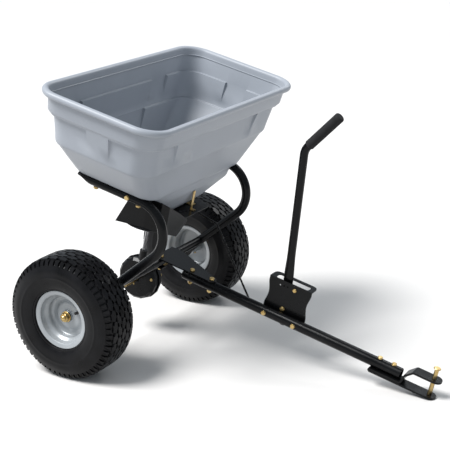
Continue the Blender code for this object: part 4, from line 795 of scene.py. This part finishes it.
# A plain round bar as long as the CAD's axle.
def buildAxle():
    low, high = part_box("axle")
    half = (high[1] - low[1]) / 2
    radius = shared["axleRadius"]
    soft = 0.001
    bm = turn([(-half, 0), (-half, radius - soft), (soft - half, radius), (half - soft, radius),
               (half, radius - soft), (half, 0)], 40, ring=False)
    addPiece("axleRod", bm, "axle")


crossSettings = {"x": 0.06542, "height": 0.0854, "end": 0.2257, "radius": 0.013}
crossX, crossHeight = crossSettings["x"], crossSettings["height"]
buildTube("crossTube", "cross_tube", (crossX, -crossSettings["end"], crossHeight),
          (crossX, crossSettings["end"], crossHeight), crossSettings["radius"], (1, 0, 0))
buildTube("towTube", "tow_tube", (shared["towRear"], 0, shared["towHeight"]),
          (shared["towFront"], 0, shared["towHeight"]), shared["towRadius"], (0, 1, 0))
buildAxle()
print("frame tubes built")


# Rounds each corner of a 2-D outline by its own radius.
def filletOutline(corners, radii, steps=6):
    points = []
    count = len(corners)
    for i in range(count):
        corner = Vector(corners[i])
        back = Vector(corners[i - 1]) - corner
        front = Vector(corners[(i + 1) % count]) - corner
        radius = radii[i]
        half = back.angle(front) / 2
        if radius <= 0:
            points.append((corner.x, corner.y))
            continue
        reach = min(radius / math.tan(half), back.length * 0.49, front.length * 0.49)
        start = corner + back.normalized() * reach
        end = corner + front.normalized() * reach
        for k in range(steps + 1):
            t = k / steps
            point = start * (1 - t) ** 2 + corner * 2 * t * (1 - t) + end * t ** 2
            points.append((point.x, point.y))
    return points


plateSettings = {"rear": 0.050, "front": 0.268, "near": -0.018, "far": 0.085, "thickness": 0.004,
                 "bolts": (0.180, 0.250)}


# The flat plate on the tow tube and the cross tube.
def buildTowPlate(settings):
    front = settings["front"]
    outline = filletOutline([(settings["rear"], settings["near"]), (front - 0.018, settings["near"] + 0.002),
                             (front, 0.0), (front - 0.014, 0.016),
                             (settings["rear"] + 0.040, settings["far"]),
                             (settings["rear"], settings["far"])], [0.004, 0.012, 0.009, 0.010, 0.012, 0.004])
    hole = shared["boltHole"]
    holes = [circlePoints((x, 0), hole) for x in (*settings["bolts"], crossX)]
    low = towTop + shared["gap"]
    bm = slab(outline, holes, low, low + settings["thickness"])
    addPiece("towPlate", bm, "tow_plate", bevel=0.0007)


buildTowPlate(plateSettings)

hitchSettings = {"width": 0.040, "thickness": 0.006, "rear": 0.795, "front": 1.001, "upperFront": 1.005,
                 "pinX": 0.981, "pinHole": 0.0066, "gap": 0.047, "web": 0.894, "bolts": (0.818, 0.862)}


# A flat lower strap, and an upper one that rises round the end of the tow tube to make the clevis.
def buildHitch(settings):
    half = settings["width"] / 2
    gap = shared["gap"]
    thickness = settings["thickness"]
    footBase = towBottom - gap - thickness
    lowerTop = footBase - gap
    hole = shared["boltHole"]
    outline = [(settings["rear"], 0.006 - half), (settings["rear"] + 0.006, -half)]
    for k in range(25):
        a = math.radians(-90 + 180 * k / 24)
        outline.append((settings["front"] - half + half * math.cos(a), half * math.sin(a)))
    outline += [(settings["rear"] + 0.006, half), (settings["rear"], half - 0.006)]
    holes = [circlePoints((x, 0), hole) for x in settings["bolts"]]
    holes.append(circlePoints((settings["pinX"], 0), settings["pinHole"], 32))
    bm = slab(outline, holes, lowerTop - thickness, lowerTop)
    addPiece("hitchLowerStrap", bm, "hitch_lower_strap", bevel=0.0006)

    t = thickness / 2
    foot = footBase + t
    arm = lowerTop + settings["gap"] + t
    front = settings["upperFront"]
    web = settings["web"] + t
    path = roundedPath([(settings["rear"] + 0.005, 0, foot), (web, 0, foot), (web + 0.006, 0, foot + 0.026),
                        (web + 0.028, 0, arm), (front - half, 0, arm)], 0.0085, steps=8)
    stations = [(point, half) for point in path]
    for k in range(1, 17):
        a = math.radians(90 * k / 16.2)
        stations.append((Vector((front - half + half * math.sin(a), 0, arm)), half * math.cos(a)))
    rings = []
    for i, (point, width) in enumerate(stations):
        ahead = stations[min(i + 1, len(stations) - 1)][0] - point
        behind = point - stations[max(i - 1, 0)][0]
        along = (ahead.normalized() + behind.normalized()).normalized()
        up = Vector((-along.z, 0, along.x)) * t
        side = Vector((0, width, 0))
        rings.append([point + up + side, point + up - side, point - up - side, point - up + side])
    bm = bmesh.new()
    loft(bm, rings)
    piece = addPiece("hitchUpperStrap", bm, "hitch_upper_strap", sharp=40)
    cutRound(piece, (settings["pinX"], 0, arm), (0, 0, 1), settings["pinHole"], 0.02)
    for x in settings["bolts"]:
        cutRound(piece, (x, 0, foot), (0, 0, 1), hole, 0.02)
    addBevel(piece, 0.0006)


# Cuts a round hole, given in machine axes, and applies the cut.
def cutRound(piece, centre, axis, radius, length):
    bm = bmesh.new()
    bmesh.ops.create_cone(bm, cap_ends=True, segments=32, radius1=radius, radius2=radius, depth=length)
    bmesh.ops.transform(bm, matrix=placeOn(centre, axis, 0.1), verts=bm.verts)
    applyBoolean(piece, bm, "DIFFERENCE")


# Cuts or joins a bmesh, and drops the cutter.
def applyBoolean(piece, bm, operation):
    mesh = bpy.data.meshes.new("cutter")
    bm.to_mesh(mesh)
    bm.free()
    cutter = bpy.data.objects.new("cutter", mesh)
    bpy.context.scene.collection.objects.link(cutter)
    modifier = piece.modifiers.new("cut", "BOOLEAN")
    modifier.operation = operation
    modifier.solver = "EXACT"
    modifier.object = cutter
    graph = bpy.context.evaluated_depsgraph_get()
    made = bpy.data.meshes.new_from_object(piece.evaluated_get(graph))
    piece.modifiers.remove(modifier)
    old = piece.data
    piece.data = made
    made.name = old.name
    bpy.data.meshes.remove(old)
    bpy.data.objects.remove(cutter, do_unlink=True)
    bpy.data.meshes.remove(mesh)
    piece.data.set_sharp_from_angle(angle=math.radians(32))


buildHitch(hitchSettings)

pinSettings = {"radius": 0.0063, "tip": 0.0045, "headRadius": 0.0105, "headHeight": 0.0035,
               "topHeight": 0.147}


# Headed pin, drawn from the underside of the lower strap upwards.
def buildHitchPin(settings):
    low = towBottom - 2 * shared["gap"] - 2 * hitchSettings["thickness"]
    top = settings["topHeight"] - low
    neck = top - settings["headHeight"]
    radius = settings["radius"]
    head = settings["headRadius"]
    profile = [(0.001, 0.0), (0.001, settings["tip"]), (0.0042, radius), (neck, radius),
               (neck, head - 0.0007),
               (neck + 0.0005, head), (top - 0.0012, head), (top, head - 0.0013), (top, 0.0)]
    bm = turn(profile, 40, axis=(0, 0, 1), ring=False)
    addPiece("hitchPin", bm, "hitch_pin", place=machine @ Matrix.Translation((hitchSettings["pinX"], 0, low)))


buildHitchPin(pinSettings)
print("hitch built")


bracketSettings = {
    "face": 0.0162, "thickness": 0.003, "middle": 0.4955, "half": 0.070, "waist": 0.063, "top": 0.191,
    "flange": 0.043, "slotHalf": 0.054, "slotWidth": 0.0275, "plane": 0.0326,
    "boltHoles": ((0.446, 0.0825), (0.545, 0.0825), (0.488, 0.103), (0.512, 0.175)),
    "smallHoles": ((0.463, 0.173), (0.476, 0.175), (0.487, 0.176)), "smallRadius": 0.0024,
}


# An upright plate with waisted sides, and a flange on top with the lever's slot.
def buildBracket(settings):
    half, waist, top = settings["half"], settings["waist"], settings["top"]
    face, middle, thickness = settings["face"], settings["middle"], settings["thickness"]
    rise = top - thickness - towTop
    right = [(half * 0.46, towBottom - 0.008), (half * 0.72, towBottom - 0.001), (half, towTop - 0.012)]
    for k in range(15):
        share = k / 14
        dip = math.sin(math.pi * min(1.0, share / 0.94)) ** 1.4
        right.append((half - (half - waist) * dip, towTop + rise * (0.02 + 0.90 * share)))
    right.append((half, top))
    outline = [(middle + x, z) for x, z in right] + [(middle - x, z) for x, z in reversed(right)]
    hole = shared["boltHole"]
    holes = [circlePoints(place, hole) for place in settings["boltHoles"]]
    holes += [circlePoints(place, settings["smallRadius"], 16) for place in settings["smallHoles"]]
    bm = slab(outline, holes, 0.0, thickness)
    upright = Matrix(((1, 0, 0, 0), (0, 0, 1, face), (0, 1, 0, 0), (0, 0, 0, 1)))
    bmesh.ops.transform(bm, matrix=upright, verts=bm.verts)
    piece = addPiece("leverBracket", bm, "lever_bracket")

    flange = filletOutline([(middle - half, face + 0.0005), (middle + half, face + 0.0005),
                            (middle + half, face + settings["flange"]),
                            (middle - half, face + settings["flange"])],
                           [0.0, 0.0, 0.019, 0.019], steps=12)
    slotRadius = settings["slotWidth"] * 0.38
    near = settings["plane"] - settings["slotWidth"] / 2
    far = settings["plane"] + settings["slotWidth"] / 2
    reach = settings["slotHalf"]
    slot = filletOutline([(middle + 0.001 - reach, near), (middle + 0.001 + reach, near),
                          (middle + 0.001 + reach, far), (middle + 0.001 - reach, far)], [slotRadius] * 4,
                          steps=8)
    shelf = slab(flange, [slot], top - thickness, top)
    bmesh.ops.transform(shelf, matrix=machine, verts=shelf.verts)
    applyBoolean(piece, shelf, "UNION")
    addBevel(piece, 0.0006)


buildBracket(bracketSettings)

leverSettings = {"pivot": (0.488, 0.0326, 0.103), "lean": 6.8, "length": 0.490, "arm": 0.046,
                 "gripLean": 32.0,
                 "gripLength": 0.132, "radius": 0.0122, "gripRadius": 0.0148, "flat": (0.006, 0.0155),
                 "eyeHole": 0.0046, "bend": 0.045, "ridges": 22}


# A tube pressed flat round its pivot, bent towards the driver, with a ridged foam grip.
def buildLever(settings):
    lean = math.radians(settings["lean"])
    gripLean = math.radians(settings["gripLean"])
    axisUp = Vector((-math.sin(lean), 0, math.cos(lean)))
    gripUp = Vector((math.sin(gripLean), 0, math.cos(gripLean)))
    bend = axisUp * settings["length"]
    tip = bend + gripUp * (settings["gripLength"] + 0.013)
    radius = settings["radius"]
    thick, wide = settings["flat"]
    arm = settings["arm"]
    path = []
    sizes = []
    for k in range(1, 9):
        a = math.radians(90 - 90 * k / 8)
        path.append(axisUp * (-arm - 0.0115 * math.sin(a)))
        sizes.append((thick, 0.004 + (wide - 0.004) * math.cos(a) ** 0.8 if k < 8 else wide))
    path.append(axisUp * 0.0)
    sizes.append((thick, wide))
    for distance, share in ((0.095, 0.0), (0.110, 0.06), (0.125, 0.25), (0.140, 0.55), (0.155, 0.82),
                            (0.168, 0.96),
                            (0.180, 1.0)):
        path.append(axisUp * distance)
        sizes.append((thick + (radius - thick) * share, wide + (radius - wide) * share))
    upper = roundedPath([axisUp * 0.185, bend, tip], settings["bend"], steps=16)
    path += upper
    sizes += [(radius, radius)] * len(upper)
    bm = bmesh.new()
    loft(bm, sweepRings(path, sizes, sides=36))
    place = machine @ Matrix.Translation(settings["pivot"])
    piece = addPiece("leverTube", bm, "lever", place=place, sharp=45)
    eye = Vector(settings["pivot"]) - axisUp * arm
    cutRound(piece, eye, (0, 1, 0), settings["eyeHole"], 0.04)
    cutRound(piece, settings["pivot"], (0, 1, 0), shared["boltHole"], 0.04)

    start = bend + gripUp * 0.019
    length = settings["gripLength"]
    outside = settings["gripRadius"]
    bore = radius + 0.0004
    ridges = [(0.0, bore), (0.0, outside - 0.0022)]
    ridges += arcPoints((0.0022, outside - 0.0022), 0.0022, 180, 90, 5)[1:]
    step = (length - 0.020) / settings["ridges"]
    groove = outside - 0.0004
    for k in range(settings["ridges"]):
        z = 0.006 + step * (k + 0.5)
        ridges += [(z - step * 0.30, outside), (z - step * 0.10, groove), (z + step * 0.10, groove),
                   (z + step * 0.30, outside)]
    ridges += [(length - 0.0085, outside)]
    ridges += arcPoints((length - 0.0060, outside - 0.0060), 0.0060, 90, 20, 6)
    ridges += [(length, outside - 0.0095), (length, 0.0), (length - 0.005, 0.0), (length - 0.005, bore)]
    foam = bmesh.new()
    verts = [foam.verts.new((r, 0, along)) for along, r in ridges]
    pairs = zip(verts, verts[1:] + verts[:1])
    edges = [foam.edges.new(pair) for pair in pairs if pair[0].co.x or pair[1].co.x]  # none along the axis
    bmesh.ops.spin(foam, geom=verts + edges, axis=(0, 0, 1), cent=(0, 0, 0), angle=math.tau, steps=40,
                   use_merge=True)
    bmesh.ops.remove_doubles(foam, verts=foam.verts, dist=1e-6)
    stand = Matrix.Translation(start) @ Matrix.Rotation(gripLean, 4, "Y")
    addPiece("leverGrip", foam, "lever_grip", place=place @ stand, sharp=50)


buildLever(leverSettings)


rodSettings = {"plane": 0.0426, "radius": 0.003, "bend": 0.0060, "gateX": 0.105, "gateTop": 0.2892,
               "runHeight": 0.2739, "dropX": 0.205}


# From the gate's hole along under the hopper, down to the lever's eye, and into it.
def buildRod(settings):
    pivot = Vector(leverSettings["pivot"])
    lean = math.radians(leverSettings["lean"])
    eye = pivot + Vector((math.sin(lean), 0, -math.cos(lean))) * leverSettings["arm"]
    plane, run, gateX = settings["plane"], settings["runHeight"], settings["gateX"]
    corners = [(gateX, plane, settings["gateTop"]), (gateX, plane, run),
               (settings["dropX"], plane, run - 0.014),
               (eye.x - 0.125, plane, eye.z + 0.010), (eye.x - 0.100, plane, eye.z), (eye.x, plane, eye.z),
               (eye.x, pivot.y - leverSettings["flat"][0], eye.z)]
    path = roundedPath(corners, settings["bend"], steps=8)
    bm = bmesh.new()
    loft(bm, sweepRings(path, [(settings["radius"],) * 2] * len(path), sides=20))
    addPiece("controlRod", bm, "control_rod", sharp=50)


buildRod(rodSettings)
print("lever built")


# Bolts: seat under the head, the way the head points, grip, and what differs from the stock bolt.
stock = {"flats": 0.013, "head": 0.0053, "nut": 0.0065, "radius": 0.004, "tip": 0.003}
lowNut = {"nut": 0.004, "tip": 0.0}
sideNut = {"nut": 0.005, "tip": 0.0}
plateScrew = {"flats": 0.010, "head": 0.004, "nut": 0.005, "tip": 0.001, "radius": 0.003}
caseScrew = {"flats": 0.008, "head": 0.0035, "nut": 0.004, "tip": 0.001, "radius": 0.0025}
hopperNut = {"nut": 0.006, "tip": 0.001}
up, right = (0, 0, 1), (0, -1, 0)
plateTop = towTop + shared["gap"] + plateSettings["thickness"]
lowerBase = towBottom - 2 * shared["gap"] - 2 * hitchSettings["thickness"]
towSide = -shared["towRadius"]
bracketFace = bracketSettings["face"]
bolts = [
    ("plateBoltRear", "plate_bolt_rear", (0.180, 0, plateTop), up, plateTop - towBottom, {}),
    ("plateBoltFront", "plate_bolt_front", (0.250, 0, plateTop), up, plateTop - towBottom, {}),
    ("crossBolt", "cross_bolt", (crossX, 0, plateTop), up, plateTop - 0.0661, {}),
    ("hitchBoltRear", "hitch_bolt_rear", (0.818, 0, towTop), up, towTop - lowerBase, lowNut),
    ("hitchBoltFront", "hitch_bolt_front", (0.862, 0, towTop), up, towTop - lowerBase, lowNut),
    ("bracketBoltRear", "bracket_bolt_rear", (0.446, towSide, 0.0825), right, 0.0351, sideNut),
    ("bracketBoltFront", "bracket_bolt_front", (0.545, towSide, 0.0825), right, 0.0351, sideNut),
    ("leverPivotBolt", "lever_pivot_bolt", (0.488, bracketFace, 0.103), right, 0.0230,
     {"head": 0.0045, "tip": 0.001}),
    ("leverStopBolt", "lever_stop_bolt", (0.512, bracketFace, 0.175), right, 0.004,
     {"flats": 0.011, "head": 0.004, "nut": 0.006, "tip": 0.0134}),
    ("deflectorBolt", "deflector_bolt", (0.060, -0.254, 0.3712), right, 0.0366, {"nut": 0.005, "tip": 0.001}),
    ("outletScrewOne", "outlet_screw_1", (-0.075, -0.050, 0.2945), up, 0.0106, plateScrew),
    ("outletScrewTwo", "outlet_screw_2", (0.038, 0.050, 0.2945), up, 0.0106, plateScrew),
]
for hoopName, y in (("right", -0.240), ("left", 0.240)):
    for end, x in (("Rear", -0.056), ("Front", 0.092)):
        bolts.append((f"{hoopName}HopperBolt{end}", f"{hoopName}_hopper_bolt_{end.lower()}", (x, y, 0.3895), up,
                      0.0323, hopperNut))
for boltName, node, seat, axis, grip, changes in bolts:
    addBolt(boltName, node, seat, axis, grip, {**stock, **changes}, spin=0.2 + 0.37 * (len(boltName) % 5))

caseScrewCircle = 0.059
for index, degrees in enumerate((20, 200)):
    a = math.radians(degrees)
    seat = (caseScrewCircle * math.cos(a), -0.016, caseScrewCircle * math.sin(a))
    addBolt(f"caseScrew{index + 1}", f"gear_case_screw_{index + 1}", seat, right, 0.050,
            {**stock, **caseScrew})
print("fasteners built")


# The CAD's own pieces get the same finishes, and the visible ones a soft edge.
for nodeName, nodeObject in frame["nodes"].items():
    if len(nodeObject.material_slots) == 0:
        nodeObject.data.materials.append(None)
    for materialSlot in nodeObject.material_slots:
        materialSlot.material = finishes[slotOf[nodeName]]

softened = {"deflector": 0.0005, "outlet_plate": 0.0006, "gate": 0.0005, "outlet_hanger": 0.0004,
            "gear_case_left": 0.0012, "gear_case_right": 0.0012, "impeller": 0.0004, "pinion": 0.0003}
for nodeName, width in softened.items():
    addBevel(frame["nodes"][nodeName], width)


stageSettings = {
    "floorHalf": 40.0, "floorColour": (0.60, 0.585, 0.57), "worldColour": (0.82, 0.91, 1.0),
    "worldStrength": 0.55,
    "sunStrength": 4.6, "sunAngle": 0.45, "sunFrom": (-0.32, -0.42, 0.85),
}


# A pale paper floor, the sky's fill and one broad sun.
def buildStage(settings):
    bm = bmesh.new()
    bmesh.ops.create_grid(bm, x_segments=1, y_segments=1, size=settings["floorHalf"])
    mesh = bpy.data.meshes.new("floor")
    bm.to_mesh(mesh)
    bm.free()
    floor = bpy.data.objects.new("floor", mesh)
    bpy.context.scene.collection.objects.link(floor)
    floor.location.z = -0.0002
    material = bpy.data.materials.new("floorPaper")
    material.use_nodes = True
    nodes = material.node_tree.nodes
    links = material.node_tree.links
    shader = nodes["Principled BSDF"]
    coordinate = nodes.new("ShaderNodeTexCoord")
    texture = nodes.new("ShaderNodeTexNoise")
    texture.inputs["Scale"].default_value = 300.0
    links.new(coordinate.outputs["Object"], texture.inputs["Vector"])
    bump = nodes.new("ShaderNodeBump")
    bump.inputs["Strength"].default_value = 0.02
    links.new(texture.outputs["Fac"], bump.inputs["Height"])
    links.new(bump.outputs["Normal"], shader.inputs["Normal"])
    shader.inputs["Base Color"].default_value = (*settings["floorColour"], 1.0)
    shader.inputs["Roughness"].default_value = 0.9
    mesh.materials.append(material)

    world = bpy.data.worlds.new("studio")
    world.use_nodes = True
    background = world.node_tree.nodes["Background"]
    background.inputs["Color"].default_value = (*settings["worldColour"], 1.0)
    background.inputs["Strength"].default_value = settings["worldStrength"]
    bpy.context.scene.world = world
    sun = bpy.data.lights.new("softSun", "SUN")
    sun.energy = settings["sunStrength"]
    sun.angle = settings["sunAngle"]
    sunObject = bpy.data.objects.new("softSun", sun)
    sunObject.rotation_euler = Vector(settings["sunFrom"]).to_track_quat("Z", "Y").to_euler()
    bpy.context.scene.collection.objects.link(sunObject)


# A round soft lamp that points at a target.
def addLight(name, location, target, size, power):
    data = bpy.data.lights.new(name, "AREA")
    data.shape = "DISK"
    data.size = size
    data.energy = power
    light = bpy.data.objects.new(name, data)
    light.location = location
    light.rotation_euler = (Vector(target) - Vector(location)).to_track_quat("-Z", "Y").to_euler()
    bpy.context.scene.collection.objects.link(light)


buildStage(stageSettings)
addLight("keyLight", (-2.4, -1.4, 2.8), (0, 0, 0.4), 1.2, 40)
addLight("rimLight", (0.6, 2.8, 3.0), (0, 0, 0.5), 1.4, 40)

cameraSettings = {"place": (1.5429, -2.8113, 1.4564), "azimuth": 30.23, "elevation": 17.82, "roll": -0.519,
                  "lens": 92.82, "shiftY": -0.0043}


# Place, direction and roll in one matrix.
def buildCamera(settings):
    azimuth = math.radians(settings["azimuth"])
    elevation = math.radians(settings["elevation"])
    roll = math.radians(settings["roll"])
    back = Vector((math.sin(azimuth) * math.cos(elevation), -math.cos(azimuth) * math.cos(elevation),
                   math.sin(elevation)))
    right = Vector((math.cos(azimuth), math.sin(azimuth), 0))
    up = back.cross(right)
    rolledRight = right * math.cos(roll) + up * math.sin(roll)
    rolledUp = up * math.cos(roll) - right * math.sin(roll)
    data = bpy.data.cameras.new("camera")
    data.lens = settings["lens"]
    data.sensor_width = 36.0
    data.shift_y = settings["shiftY"]
    data.clip_start = 0.05
    camera = bpy.data.objects.new("camera", data)
    matrix = Matrix((rolledRight, rolledUp, back)).transposed().to_4x4()
    matrix.translation = Vector(settings["place"])
    camera.matrix_world = matrix
    bpy.context.scene.collection.objects.link(camera)
    bpy.context.scene.camera = camera


buildCamera(cameraSettings)
bpy.context.scene.view_settings.view_transform = "Standard"
print("stage, light and camera set")
